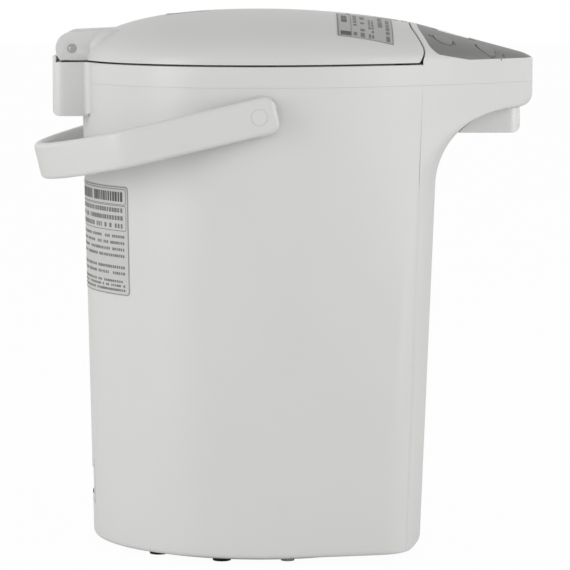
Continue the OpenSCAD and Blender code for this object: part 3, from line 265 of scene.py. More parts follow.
def painted(piece, material):
    piece.data.materials.clear()
    piece.data.materials.append(material)
    piece.data.polygons.foreach_set("material_index", [0] * len(piece.data.polygons))
    return piece


def shade(piece):
    piece.data.polygons.foreach_set("use_smooth", [True] * len(piece.data.polygons))
    piece.data.set_sharp_from_angle(angle=math.radians(38))
    return piece


def applied(piece):
    graph = bpy.context.evaluated_depsgraph_get()
    mesh = bpy.data.meshes.new_from_object(piece.evaluated_get(graph))
    piece.modifiers.clear()
    piece.data = mesh
    return piece


def roundEdges(piece, width, angle=45, segments=3):
    bevel = piece.modifiers.new("edge", "BEVEL")
    bevel.width, bevel.segments, bevel.limit_method = width / 1000, segments, "ANGLE"
    bevel.angle_limit = math.radians(angle)
    return applied(piece)


def cutAway(piece, *cutters, operation="DIFFERENCE"):
    for cutter in cutters:
        boolean = piece.modifiers.new("cut", "BOOLEAN")
        boolean.operation, boolean.object, boolean.solver = operation, cutter, "EXACT"
    applied(piece)
    for cutter in cutters:
        bpy.data.objects.remove(cutter)
    return shade(piece)


def placed(piece, rideOn, slotName, *replaced):
    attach(piece, rideOn)
    if replaced:
        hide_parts(*replaced)
    return piece


def joinPieces(name, pieces, material, rideOn, slotName, *replaced):
    work = bmesh.new()
    for piece in pieces:
        work.from_mesh(piece.data)
    mesh = bpy.data.meshes.new(name)
    work.to_mesh(mesh)
    work.free()
    whole = bpy.data.objects.new(name, mesh)
    scene.collection.objects.link(whole)
    for piece in pieces:
        bpy.data.objects.remove(piece)
    return placed(shade(painted(whole, material)), rideOn, slotName, *replaced)


def gridFaces(a, b, count, wrap=True):
    steps = range(count if wrap else count - 1)
    return [(a + i, a + (i + 1) % count, b + (i + 1) % count, b + i) for i in steps]


def capMesh(upper, lower, topCentre, lowCentre):
    # two stacks of closed rings, each drawn in to a centre point
    n, m, k = len(upper[0]), len(upper), len(lower)
    low, last = n * m, n * (m + k)
    faces = []
    for j in range(m - 1):
        faces += gridFaces(j * n, (j + 1) * n, n)
    faces += [((m - 1) * n + i, (m - 1) * n + (i + 1) % n, last) for i in range(n)]
    for j in range(k - 1):
        faces += gridFaces(low + (j + 1) * n, low + j * n, n)
    faces += [(low + (k - 1) * n + (i + 1) % n, low + (k - 1) * n + i, last + 1) for i in range(n)]
    return np.concatenate([*upper, *lower, [topCentre, lowCentre]]), faces + gridFaces(low, 0, n)


def ribbonMesh(outer, inner):
    # a curved wall between two stacks of open lines
    n, m = len(outer[0]), len(outer)
    s = n * m
    faces = gridFaces(s, 0, n, False) + gridFaces((m - 1) * n, s + (m - 1) * n, n, False)
    for j in range(m - 1):
        a, b = j * n, (j + 1) * n
        faces += gridFaces(a, b, n, False) + gridFaces(s + b, s + a, n, False)
        faces += [(a, b, s + b, s + a), (a + n - 1, s + a + n - 1, s + b + n - 1, b + n - 1)]
    return np.concatenate([*outer, *inner]), faces


def tubeMesh(rings):
    n, m = len(rings[0]), len(rings)
    faces = sum((gridFaces(j * n, (j + 1) * n, n) for j in range(m - 1)), [])
    return np.concatenate(rings), faces + [tuple(range(n))[::-1], tuple(range((m - 1) * n, m * n))]


def atZ(plan, z):
    return np.column_stack([plan, np.full(len(plan), z)])


def prism(outline, low, high):
    return tubeMesh([atZ(outline, low), atZ(outline, high)])


def acrossX(profile, half, first=None):
    # a profile in Y and Z, drawn out along X
    vertices, faces = prism(profile, -half if first is None else first, half)
    return vertices[:, [2, 0, 1]], faces


def block(plan, low, high, name="part", material=None):
    return polyPiece(name, *prism(plan, low, high), material)


def slab(profile, half, first=None, name="part", material=None):
    return polyPiece(name, *acrossX(profile, half, first), material)


def roundedRectangle(w, h, r, count=8):
    corners = [arc((sx * (w / 2 - r), sy * (h / 2 - r)), r, a, a + 90, count)
               for sx, sy, a in ((1, 1, 0), (-1, 1, 90), (-1, -1, 180), (1, -1, 270))]
    return np.concatenate(corners)


def ellipse(w, h, count=48):
    a = np.linspace(0, 2 * np.pi, count, endpoint=False)
    return np.stack([w / 2 * np.cos(a), h / 2 * np.sin(a)], 1)


def circle(r, centre=(0, 0), count=48):
    return ellipse(2 * r, 2 * r, count) + np.array(centre)


def onTop(mesh, x, y):
    normal = topNormal(x, y)
    turn = Euler((math.asin(-normal.y), math.atan2(normal.x, normal.z), 0)).to_matrix()
    return np.asarray(mesh[0]) @ np.array(turn).T + np.array([x, y, topZ((x, y))[0]]), mesh[1]


# materials
def toLinear(hexColour):
    values = [int(hexColour[i:i + 2], 16) / 255 for i in (1, 3, 5)]
    return tuple(v / 12.92 if v <= 0.04045 else ((v + 0.055) / 1.055) ** 2.4 for v in values) + (1,)


def addNode(tree, kind, settings=None, links=None):
    node = tree.nodes.new(kind)
    for key, value in (settings or {}).items():
        if isinstance(key, str) and hasattr(node, key):
            setattr(node, key, value)
        else:
            node.inputs[key].default_value = value
    for key, socket in (links or {}).items():
        tree.links.new(socket, node.inputs[key])
    return node


def surface(name, light, dark, rough=(0.35, 0.42), cloud=70, grain=0.8, depth=0.02, metallic=0, ior=1.5,
            stretch=(1, 1, 1), **sockets):
    # cloud and grain are pattern sizes in millimetres, depth the relief of the grain
    # 1.5 is near the index of most plastics
    material = bpy.data.materials.new(name)
    material.use_nodes = True
    tree = material.node_tree
    shader = tree.nodes["Principled BSDF"]
    place = addNode(tree, "ShaderNodeTexCoord")
    drawn = addNode(tree, "ShaderNodeMapping", {"Scale": stretch}, {"Vector": place.outputs["Object"]})
    spot = {"Vector": drawn.outputs[0]}
    clouds = addNode(tree, "ShaderNodeTexNoise", {"Scale": 1000 / cloud, "Detail": 3}, spot)
    grains = addNode(tree, "ShaderNodeTexNoise", {"Scale": 1000 / grain, "Detail": 2}, spot)
    colour = addNode(tree, "ShaderNodeMix", {"data_type": "RGBA"}, {0: clouds.outputs["Fac"]})
    colour.inputs[6].default_value, colour.inputs[7].default_value = toLinear(dark), toLinear(light)
    gloss = addNode(tree, "ShaderNodeMapRange", {"To Min": rough[0], "To Max": rough[1]},
                    {"Value": grains.outputs["Fac"]})
    bump = addNode(tree, "ShaderNodeBump", {"Strength": 0.35, "Distance": depth / 1000},
                   {"Height": grains.outputs["Fac"]})
    tree.links.new(colour.outputs[2], shader.inputs["Base Color"])
    tree.links.new(gloss.outputs["Result"], shader.inputs["Roughness"])
    tree.links.new(bump.outputs["Normal"], shader.inputs["Normal"])
    shader.inputs["Metallic"].default_value = metallic
    shader.inputs["IOR"].default_value = ior
    for key, value in sockets.items():
        shader.inputs[key].default_value = value
    return material


# injection-moulded and spark-eroded satin: a broad soft sheen, hardly any colour of its own
whiteAbs = surface("satin moulded ABS", "#d6d6d4", "#d1d1cf")
# the same satin a shade greyer, so that the lid parts from the nose
lidAbs = surface("satin moulded ABS of the lid", "#d2d2d0", "#cdcdcb")
# moulded in a smoother mould: the strap shows a narrower sheen along its edges
handlePp = surface("satin moulded polypropylene", "#d6d6d4", "#d1d1cf", rough=(0.3, 0.38))
# a polished mould gives a sharper real sheen; the base colour a shade lighter than the shell is a painted
# highlight, a brighter gleam round the spout
spoutGlossAndPaintedGleam = surface("gloss moulded ABS of the spout", "#dededc", "#dadad8", rough=(0.24, 0.3))
# unpainted grey moulding with no polish: an even dull grey
greyPp = surface("light grey moulded polypropylene", "#bcbcba", "#b4b4b2", rough=(0.4, 0.5))
# nearly black and satin: reads as a dark gap
darkAbs = surface("black moulded ABS", "#202022", "#19191a", rough=(0.35, 0.45))
# ink printed under a matt film: one flat mid grey
panelFilm = surface("screen-printed polyester film", "#7c7c7a", "#767674", rough=(0.38, 0.46), grain=0.5)
# the same film stretched over a key: a little lighter and smoother
keyFilm = surface("film over a key", "#838381", "#7d7d7b", rough=(0.36, 0.42), grain=0.5)
# printed ink, and also the painted shadow in half rings round the keys: flat dark grey without a gleam
markInkAndShadow = surface("dark printing ink and painted shadow", "#525251", "#4c4c4b", rough=(0.4, 0.5))
# silvered film under a matt coat: a flat light grey
labelFoil = surface("matt silver polyester label", "#b0b0ae", "#a9a9a7", rough=(0.42, 0.5), grain=0.3)
# the same film with a white ground: nearly as pale as the body
rearFoil = surface("pale matt polyester label", "#c6c6c4", "#c0c0be", rough=(0.42, 0.5), grain=0.3)
# thin grey ink: small print blurs to this grey
labelInk = surface("grey label ink", "#767674", "#6e6e6c", rough=(0.45, 0.55))
# heavier ink: the dark lines of a title
boldInk = surface("dark grey label ink", "#545452", "#4e4e4c", rough=(0.45, 0.55))
# moulded rubber, dull and black under the foot
blackRubber = surface("black nitrile rubber", "#1b1b1b", "#141414", rough=(0.7, 0.85), grain=1.2, depth=0.06)
# moulded silicone: milky and dull
silicone = surface("pale silicone rubber", "#c4c3bd", "#b8b7b1", rough=(0.5, 0.6), grain=1.5)
# cast and tinted: sharp reflections over a dark ground
darkGlass = surface("smoked acrylic window", "#1d2221", "#181c1b", rough=(0.06, 0.1), grain=8, depth=0.002)
# moulded clear: what lies behind shows through, under sharp reflections
clearPc = surface("clear moulded polycarbonate", "#e2e8ea", "#d8dfe2", rough=(0.06, 0.12), grain=6,
                  depth=0.004, **{"Transmission Weight": 0.85})
# brushed round the wall: reflections drawn out in level streaks
steel = surface("brushed stainless steel", "#c2c2c0", "#acacaa", rough=(0.22, 0.38), grain=0.6, metallic=1,
                stretch=(1, 1, 30))
# turned and plated thinly: a warm shine
brassPin = surface("nickel-plated brass", "#c8b47c", "#b8a470", rough=(0.2, 0.3), metallic=1)
# felted fibre: fluffy, yellow and without any shine
glassWool = surface("glass-wool felt", "#cfc59a", "#b3a878", rough=(0.85, 0.95), cloud=12, grain=1.6,
                    depth=0.8)
# lacquer over laminate: a clear green with a soft gleam
boardGreen = surface("green lacquered laminate", "#1f6b3c", "#185a31", rough=(0.25, 0.35), cloud=25)
slotLook = {"shell_white": whiteAbs, "lid_white": lidAbs, "handle_white": handlePp, "panel_grey": keyFilm,
            "display": darkGlass, "clear_plastic": clearPc, "silicone": silicone, "steel": steel,
            "glass_wool": glassWool, "grey_plastic": greyPp, "dark_plastic": darkAbs,
            "board_green": boardGreen, "brass_pins": brassPin, "black_rubber": blackRubber}
for part in frame["record"]["subparts"]:
    node = frame["nodes"][part["node"]]
    node.data.materials.clear()
    node.data.materials.append(slotLook[part["material_slot"]])
print("materials made")


# body shell and front cover
def evenly(line, count):
    s = np.concatenate([[0], np.cumsum(np.linalg.norm(np.diff(line, axis=0), axis=1))])
    t = np.linspace(0, s[-1], count + 1)
    return np.stack([np.interp(t, s, line[:, 0]), np.interp(t, s, line[:, 1])], 1)


def cutPlan(half, y):
    k = next(i for i in range(len(half) - 1) if half[i][1] >= y > half[i + 1][1])
    return k, mix(half[k], half[k + 1], (y - half[k][1]) / (half[k + 1][1] - half[k][1]))


def partY(z):
    return -(body["partReach"] + body["partLean"] * z)


def rearLine(half, y):
    k, p = cutPlan(half, y)
    line = evenly(np.concatenate([half[:k + 1], [p]]), 110)
    return np.concatenate([(line * (-1, 1))[::-1], line[1:]])


def frontLine(half, y):
    k, p = cutPlan(half, y)
    line = evenly(np.concatenate([[p], half[k + 1:]]), 64)
    return np.concatenate([line, (line * (-1, 1))[::-1][1:]])


def cornerAt(z):
    return mix(body["footCorner"], body["archCorner"], z / archHeight)


def shellLine(z, w, edge):
    return atZ(rearLine(bodyHalf(z, frontAt(z) + w, cornerAt(z), w + edge), partY(z)), z)


wall, seamTop = body["wall"], body["seam"] - body["gap"]
footRound = [(4, 2.0), (4.3, 1.25), (4.9, 0.6), (5.8, 0.15), (7, 0)]
shellLevels = footRound + [(z, 0) for z in np.linspace(12, seamTop - 0.6, 46)]
shellLevels += [(seamTop - body["edge"], 0.01), (seamTop, body["edge"])]
shellOuter = [shellLine(z, 0, s) for z, s in shellLevels]
shellMesh = ribbonMesh(shellOuter, [shellLine(z, wall, 0) for z, s in shellLevels])
bodyShell = polyPiece("bodyShell", *shellMesh, whiteAbs)
inlet = dict(room=0.3, corner=1.2, run=60, y=120)
inletLow, inletHigh = (np.array(c) * 1000 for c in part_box("power_inlet"))
inletPlan = roundedRectangle(inletHigh[0] - inletLow[0] + 2 * inlet["room"], inlet["run"], inlet["corner"])
inletPlan += (0, inlet["y"])
cutAway(bodyShell, block(inletPlan, inletLow[2] - inlet["room"], inletHigh[2] + inlet["room"]))
placed(bodyShell, "pot", "shell_white", "body_shell")


def tipped(half, setIn):
    ahead = np.maximum(0, tipCentre[1] - half[:, 1]) / nose["tip"]
    return half + np.column_stack([0 * ahead, setIn * ahead ** 2])


def coverLevels(w):
    rows = []
    tipRound = [(0, 6), (0.3, 5.2), (0.8, 4.15), (1.4, 3.2), (2.5, 1.95), (4, 1), (6, 0.25), (8, 0)]

    def addRow(half, z):
        rows.append(atZ(frontLine(half, partY(z) - body["gap"]), z))

    for z, s in footRound + [(z, 0) for z in np.linspace(12, archHeight, 40)]:
        addRow(bodyHalf(z, frontAt(z) + w, cornerAt(z), max(w, s)), z)
    for a in list(np.linspace(3, 78, 26)) + [80.5, 82.5, 84]:
        y, z = polar((archY, archHeight), archRadius + w, a)
        addRow(bodyHalf(z, y, mix(body["archCorner"], body["sharp"], a / 90), w), z)
    for dz, s in tipRound:
        z = nose["floor"] + w + dz
        addRow(tipped(teardrop(bodyRadius(z), w), s), z)
    for z, s in [(seamTop - body["edge"], 0.01), (seamTop, body["edge"])]:
        addRow(teardrop(bodyRadius(z), w or s), z)
    return rows


gauge = dict(half=7, low=60, high=212, corner=3, room=0.15, tickX=5.1, longTickX=4.3, longTickY=-5.75,
             tickLift=0.05)
gaugeMid = (gauge["low"] + gauge["high"]) / 2
gaugeTurn = np.array(Euler((math.radians(90 + body["lean"]), 0, 0)).to_matrix())
gaugePlan = roundedRectangle(2 * (gauge["half"] + gauge["room"]),
                             gauge["high"] - gauge["low"] + 2 * gauge["room"], gauge["corner"])


def onWindow(points):
    return points @ gaugeTurn.T + (0, frontAt(gaugeMid), gaugeMid)


nozzlePlan = circle(nose["outlet"], (0, nose["outletBack"] - nose["reach"]))
frontCover = polyPiece("frontCover", *ribbonMesh(coverLevels(0), coverLevels(wall)), whiteAbs)
slotMesh = prism(gaugePlan, -8, 8)
cutAway(frontCover, polyPiece("part", onWindow(slotMesh[0]), slotMesh[1]), block(nozzlePlan, 250, 276))
placed(frontCover, "pot", "shell_white", "front_cover")
print("body made")


# upper frame
def roundOver(points, edge, radius):
    gap = np.array([np.min(np.hypot(edge[:, 0] - p[0], edge[:, 1] - p[1])) for p in points])
    return np.where(gap < radius, radius - np.sqrt(np.maximum(0, radius ** 2 - (radius - gap) ** 2)), 0)


def spread(half, first, last):
    line = evenly(half[first:last], 1500)
    return np.concatenate([line, line * (-1, 1)])


def drape(plan, steps, centre, dz, edge=None, radius=0.7):
    # rings drawn in to a centre and laid on the top surface; the edge named is rounded over
    rings = []
    for s in steps:
        p = centre + (plan - centre) * s
        z = topZ(p) + dz
        if edge is not None:
            z = np.maximum(z - roundOver(p, edge, radius), lidZ)
        rings.append(np.column_stack([p, z]))
    return rings


noseMiddle = np.array([0, -140.0])
middleZ = topZ(noseMiddle)[0]
cutRise = 8
capSteps = [1, 0.9995, 0.998, 0.9955, 0.992, 0.987, 0.98, 0.97, 0.957, 0.94, 0.918, 0.89, 0.85, 0.8, 0.73,
            0.64, 0.54, 0.42, 0.3, 0.18, 0.08]
outlinePlan, innerPlan = closed(noseHalf(0)), closed(noseHalf(wall))


def panelSpace(w, lift):
    plan = closed(panelHalf(w))
    upper, lower = (drape(plan, capSteps, noseMiddle, dz) for dz in (cutRise, -panel["depth"]))
    for ring in lower:
        ring[:, 2] = np.maximum(ring[:, 2], lidZ + panel["edge"]) + lift
    ends = [*noseMiddle, middleZ + cutRise], [*noseMiddle, middleZ - panel["depth"] + lift]
    return polyPiece("part", *capMesh(upper, lower, *ends))


upper = drape(outlinePlan, capSteps, noseMiddle, 0, spread(noseHalf(0), 0, 41))
lower = [atZ(outlinePlan, body["seam"] + body["edge"]), atZ(closed(noseHalf(body["edge"])), body["seam"]),
         atZ(innerPlan, body["seam"])]
lower += drape(innerPlan, [1, 0.97, 0.9, 0.75, 0.5, 0.25], noseMiddle, -nose["skin"])
ends = [*noseMiddle, middleZ], [*noseMiddle, middleZ - nose["skin"]]
noseShell = polyPiece("noseShell", *capMesh(upper, lower, *ends))

keys = dict(width=13, length=12, proud=0.3, room=1.2, filmRoom=0.7, deep=4.2,
            rearY=lid["edgeY"] - 18.7, frontY=31 - nose["reach"], rearIn=18.3, frontIn=9.8)
rearX, frontX = halfWidth(keys["rearY"]) - keys["rearIn"], halfWidth(keys["frontY"]) - keys["frontIn"]
keySpots = {"warm": (-rearX, keys["rearY"]), "lock": (-frontX, keys["frontY"]),
            "boil": (rearX, keys["rearY"]), "pour": (frontX, keys["frontY"])}
display = dict(y=lid["edgeY"] - 27.2, width=34, length=21, lapX=2.3, lapY=2, lineWidth=0.4)


def keyCutters(grow):
    cut = prism(ellipse(keys["width"] + grow, keys["length"] + grow, 64), -8, 6)
    return [polyPiece("part", *onTop(cut, x, y)) for x, y in keySpots.values()]


def windowCutter(width, length, corner, low):
    return polyPiece("part", *onTop(prism(roundedRectangle(width, length, corner), low, 6), 0, display["y"]))


openWidth, openLength = display["width"] - 2 * display["lapX"], display["length"] - 2 * display["lapY"]
window = windowCutter(openWidth, openLength, 1.2, -12)
cutAway(noseShell, panelSpace(0, 0), *keyCutters(keys["room"]), window)


def bandLine(w):
    half = joined(arc((0, 0), body["rim"] - w, 90, -nose["turn"], 90),
                  arc(rimCentre, rimSide - w, -nose["turn"], bearing(rimCentre, horn), 60))
    return np.concatenate([(half * (-1, 1))[::-1], half[1:]])


bandRows = [(body["seam"], body["edge"]), (body["seam"] + body["edge"], 0.01), (body["seam"] + 0.4, 0),
            (frameTop - 0.8, 0), (frameTop - 0.3, 0.1), (frameTop, 0.5)]
bandOuter = [atZ(bandLine(s), z) for z, s in bandRows]
bandMesh = ribbonMesh(bandOuter, [atZ(bandLine(wall), z) for z, s in bandRows])
upperBand = polyPiece("upperBand", *bandMesh)

deckSize = dict(mouth=74.5, thick=2.6, inside=1.2)
deckPlan = closed(lidHalf(deckSize["inside"]))
mouth = circle(deckSize["mouth"], count=len(deckPlan))
clockwise = np.mod(90 - np.degrees(np.arctan2(mouth[:, 1], mouth[:, 0])), 360)
mouth = mouth[np.argsort(clockwise, kind="stable")]
low, high, n = body["seam"], body["seam"] + deckSize["thick"], len(deckPlan)
deckRings = [atZ(deckPlan, low), atZ(deckPlan, high), atZ(mouth, high), atZ(mouth, low)]
deckFaces = sum((gridFaces(a * n, b * n, n) for a, b in ((0, 1), (1, 2), (2, 3), (3, 0))), [])
deck = polyPiece("deck", np.concatenate(deckRings), deckFaces)

bracket = dict(half=36, rear=pinY + lid["barrel"] + 2.1, corner=7, round=4, low=body["seam"] - 20.3,
               high=frameTop + 3.4, fillet=4, edge=1.1, lip=2.2, room=0.5)
half, corner = bracket["half"], bracket["corner"]
inX, inY = half - corner, bracket["rear"] - corner
bracketPlan = np.concatenate([[(-half, 100)], [(half, 100)], arc((inX, inY), corner, 0, 90, 12),
                              arc((-inX, inY), corner, 90, 180, 12)])
bracketBlock = block(bracketPlan, bracket["low"], bracket["high"])
turn = bracket["rear"] - bracket["round"], bracket["low"] + bracket["round"]
sideProfile = np.concatenate([[(90, 320), (90, bracket["low"])], arc(turn, bracket["round"], -90, 0, 10),
                              [(bracket["rear"], 320)]])
cutAway(bracketBlock, slab(sideProfile, 60), operation="INTERSECT")
step = bracket["rear"] - bracket["lip"]
stepProfile = np.array([(90, frameTop), (step, frameTop), (step, 330), (90, 330)])


def barrelScoop():
    return slab(circle(lid["barrel"] + bracket["room"], (pinY, pinZ), 96), lid["tabHalf"] + 0.6)


cutAway(bracketBlock, block(circle(body["rim"] + 0.3, count=240), 255, body["seam"]),
        block(circle(body["rim"] - wall, count=240), body["seam"] + 0.02, 320), slab(stepProfile, 60),
        barrelScoop())
cutAway(upperBand, barrelScoop())
roundEdges(bracketBlock, bracket["edge"], 50)


def filletStrip(corners):
    # a hollow fillet along a line of corners, each one its root, its two feet and a point inside
    rows, t = [], np.linspace(0, 1, 9)[:, None]
    for root, high, low, back in corners:
        rows.append(np.concatenate([high * (1 - t) ** 2 + 2 * root * t * (1 - t) + low * t ** 2, [back]]))
    return polyPiece("fillet", *tubeMesh(rows))


def bracketFillet(side):
    corners = []
    for z in (bracket["low"] + 1.5, body["seam"] - 0.2, body["seam"] + 0.2, frameTop):
        r = min(body["rim"], bodyRadius(z))
        root = np.array([bracket["half"] - 0.05, math.sqrt(r * r - bracket["half"] ** 2)])
        along = np.array([root[1], -root[0]]) / r * bracket["fillet"]
        row = [root, root + (0, bracket["fillet"]), root + along, root - (1.2, 1.2)]
        corners.append([np.array([side * p[0], p[1], z]) for p in row])
    return filletStrip(corners)


lug = dict(reach=11.2, round=5.6, turn=-123, inner=20, outer=28)
lugFoot = polar((pinY, pinZ), lug["reach"], lug["turn"])
lugFront, lugLow = pinY + frameTop - pinZ - 2.6, body["seam"] + 1.3
lugProfile = np.concatenate([arc((pinY, pinZ), lug["round"], -60, 180, 36),
                             [(lugFront, frameTop), (lugFront, lugLow), (lugFoot[0], lugLow), lugFoot]])
lugs = [slab(lugProfile, lug["outer"], lug["inner"]), slab(lugProfile, -lug["inner"], -lug["outer"])]
framePieces = [noseShell, upperBand, deck, bracketBlock, bracketFillet(1), bracketFillet(-1)] + lugs
joinPieces("upperFrame", framePieces, whiteAbs, "pot", "shell_white", "upper_frame")
print("upper frame made")

# control panel and keys
filmLow = body["seam"] + 2
filmRings = [atZ(outlinePlan, filmLow), atZ(mix(noseMiddle, outlinePlan, 0.5), filmLow)]
filmTop = drape(outlinePlan, capSteps, noseMiddle, 0)
filmMesh = capMesh(filmTop, filmRings, [*noseMiddle, middleZ], [*noseMiddle, filmLow])
controlPanel = polyPiece("controlPanel", *filmMesh, panelFilm)
cutAway(controlPanel, panelSpace(0.15, 0.05), operation="INTERSECT")
window = windowCutter(display["width"] + 0.1, display["length"] + 0.1, 0.4, -8)
cutAway(controlPanel, *keyCutters(keys["filmRoom"]), window)
placed(painted(controlPanel, panelFilm), "pot", "panel_grey", "control_panel")


def draped(points, lift):
    return np.column_stack([points[:, 0], points[:, 1], topZ(points[:, :2]) + lift])


keyPlan = ellipse(keys["width"], keys["length"], 64)
for keyName, (x, y) in keySpots.items():
    rings = [onTop((atZ(keyPlan, -keys["deep"]), None), x, y)[0]]
    for s, drop in ((1, 0.4), (0.993, 0.2), (0.98, 0.07), (0.955, 0), (0.8, 0), (0.55, 0), (0.3, 0)):
        rings.append(draped(onTop((atZ(keyPlan * s, 0), None), x, y)[0], keys["proud"] - drop))
    key = polyPiece(keyName + "Key", *tubeMesh(rings), keyFilm)
    placed(key, keyName + "_key", "panel_grey", keyName + "_button")
print("panel made")

# lid
domeSteps = [1, 0.9993, 0.9975, 0.995, 0.9915, 0.987, 0.98, 0.972, 0.96, 0.945, 0.925, 0.9, 0.87, 0.83, 0.78,
             0.72, 0.65, 0.57, 0.48, 0.38, 0.28, 0.18, 0.08]
domeTop = drape(closed(lidHalf(0)), domeSteps, np.zeros(2), 0, spread(lidHalf(0), 108, 158), 1.0)
kx, kz = 1 - lid["skin"] / body["rim"], 1 - lid["skin"] / lid["crown"]
domeLow = [np.column_stack([r[:, :2] * kx, lidZ + (topZ(r[:, :2]) - lidZ) * kz]) for r in domeTop]
domeMesh = capMesh(domeTop, domeLow, [0, 0, lidZ + lid["crown"]], [0, 0, lidZ + lid["crown"] * kz])
lidDome = polyPiece("lidDome", *domeMesh)
vent = dict(y=44.8, length=27.7, width=34, corner=5, sunk=1.3, depth=2.4, floor=1.6, room=0.2, rim=3,
            mouthCorner=2.6, edge=0.4, neck=9.4, neckLow=7, pitch=3.5, lean=24, slatDrop=0.9)
ventPlan = roundedRectangle(vent["width"], vent["length"], vent["corner"]) + (0, vent["y"])
lever = dict(y=-52, length=36, half=15.3, plate=3.1, top=0.3, gap=0.8, rear=2.6, lip=6.2, barrel=2.5,
             arm=12.6, armThick=1.5, armHalf=2, pinBack=5.6, pinDrop=3, wellDeep=9, corner=2.4, edge=0.7,
             thumbIn=9.5, thumbRun=15, thumbDeep=3.4, thumbHalf=11, ribDrop=1.45)
leverTop = topZ((0, lever["y"]))[0]
leverTilt = math.atan((leverTop - topZ((0, lever["y"] - lever["length"]))[0]) / lever["length"])


def onLever(points):
    turn = np.array(Euler((leverTilt, 0, 0)).to_matrix())
    return np.asarray(points) @ turn.T + np.array([0, lever["y"], leverTop])


def leverPiece(mesh):
    return polyPiece("part", onLever(mesh[0]), mesh[1])


wellPlan = roundedRectangle(2 * lever["half"] + 5.4, lever["length"] + 3.4, 3)
wellPlan += (0, -lever["length"] / 2 - 0.9)
cutAway(lidDome, block(ventPlan, 300, 345), leverPiece(prism(wellPlan, -lever["wellDeep"], 30)))
tab = dict(front=14.7, shelf=0.52, rise=1.3, arcEnd=-44.6, edge=0.9, filletFrom=82, filletTo=103.5, fillet=5)
tabTop, tabStart = pinZ + lid["barrel"], pinY - lid["tabRun"]
tabFront, shelf = body["rim"] - tab["front"], lidZ + tab["shelf"] * lid["crown"]
tabProfile = np.concatenate([[(tabFront, lidZ), (tabFront, shelf), (tabStart, shelf),
                              (tabStart, tabTop + tab["rise"])],
                             arc((pinY, pinZ), lid["barrel"], 90, tab["arcEnd"], 48), [(pinY + 2, lidZ)]])
lidTab = slab(tabProfile, lid["tabHalf"])
hollowFront = tabFront + lid["skin"]
tabHollow = np.concatenate([[(hollowFront, lidZ - 3), (hollowFront, tabTop - 1.9)],
                            arc((pinY, pinZ), lid["barrel"] - lid["skin"], 90, -60, 30)])
underProfile = np.array([(0, 0), (30, -23.4), (30, -40), (0, -40)]) + (pinY, pinZ)
cutAway(lidTab, slab(tabHollow, lid["tabHalf"] - 3), slab(underProfile, 29),
        slab(circle(lid["pin"], (pinY, pinZ)), 100))
roundEdges(lidTab, tab["edge"], 50)


def tabFillet(side):
    corners, x = [], lid["tabHalf"] - 0.05
    for y in np.linspace(tab["filletFrom"], tab["filletTo"], 24):
        root = np.array([x, y, topZ((x, y))[0]])
        top = tabTop + min(1, (pinY - y) / lid["tabRun"]) * tab["rise"]
        rise = max(0.05, min(tab["fillet"], top - root[2] - 0.6))
        out = np.array([x + rise, y, topZ((x + rise, y))[0]])
        corners.append([p * (side, 1, 1) for p in (root, root + (0, 0, rise), out, root - (1.2, 0, 1.2))])
    return filletStrip(corners)


lidPieces = [lidDome, lidTab, tabFillet(1), tabFillet(-1)]
joinPieces("lidCover", lidPieces, lidAbs, "lid", "lid_white", "lid_cover")
print("lid made")

# bail handle: a flat strap swept round the rear, with round ends at the pivots
bail = dict(inside=112.6, thick=6, height=22.2, reach=141.8, corner=30, arc=150, droop=13.3, pivotZ=268.8,
            edge=2.7, end=10.8, endRound=6.5, hole=5.08, endSteps=25)


def bailPath(x, rc, ra, centreY):
    cc = np.array([x - rc, centreY + math.sqrt((ra - rc) ** 2 - (x - rc) ** 2)])
    a = bearing((0, centreY), cc)
    quarter = np.cos(np.radians(np.linspace(0, 90, bail["endSteps"])))
    back = np.append(bail["end"] - bail["endRound"] * (1 - quarter), 0)
    return joined(np.stack([np.full(len(back), x), -back], 1), straight((x, 0), (x, cc[1]), 24),
                  arc(cc, rc, 0, a, 28), arc((0, centreY), ra, a, 90, 60))


half, steps = bail["thick"] / 2, bail["endSteps"]
centreLine = bailPath(bail["inside"] + half, bail["corner"] - half, bail["arc"] - half,
                      bail["reach"] - bail["arc"])
centreLine = np.concatenate([centreLine, (centreLine * (-1, 1))[::-1][1:]])
tangent = np.gradient(centreLine, axis=0)
tangent[:steps], tangent[-steps:] = (0, 1), (0, -1)
tangent /= np.linalg.norm(tangent, axis=1)[:, None]
section = roundedRectangle(bail["thick"], bail["height"], bail["edge"], 6)
rings = []
for p, t in zip(centreLine, tangent):
    # the arm's end is a rounded rectangle with the same rounded rim as its sides
    turnIn = max(0, -p[1] - bail["end"] + bail["endRound"])
    high = bail["height"] / 2 - bail["endRound"] + math.sqrt(max(0, bail["endRound"] ** 2 - turnIn ** 2))
    rimIn = min(bail["edge"], max(0, -p[1] - bail["end"] + bail["edge"]))
    drawIn = bail["edge"] - math.sqrt(max(0, bail["edge"] ** 2 - rimIn ** 2))
    u, v = section[:, 0] * (half - drawIn) / half, section[:, 1] * high / (bail["height"] / 2)
    rings.append(np.column_stack([p[0] + t[1] * u, p[1] - t[0] * u, v]))
handleBail = polyPiece("handleBail", *tubeMesh(rings), handlePp)
cutAway(handleBail, slab(circle(bail["hole"], count=64), 160))
lift = Matrix.Translation((0, 0, bail["pivotZ"] / 1000))
handleBail.data.transform(lift @ Matrix.Rotation(math.radians(-bail["droop"]), 4, "X"))
placed(handleBail, "handle", "handle_white", "handle_bail")
print("handle made")

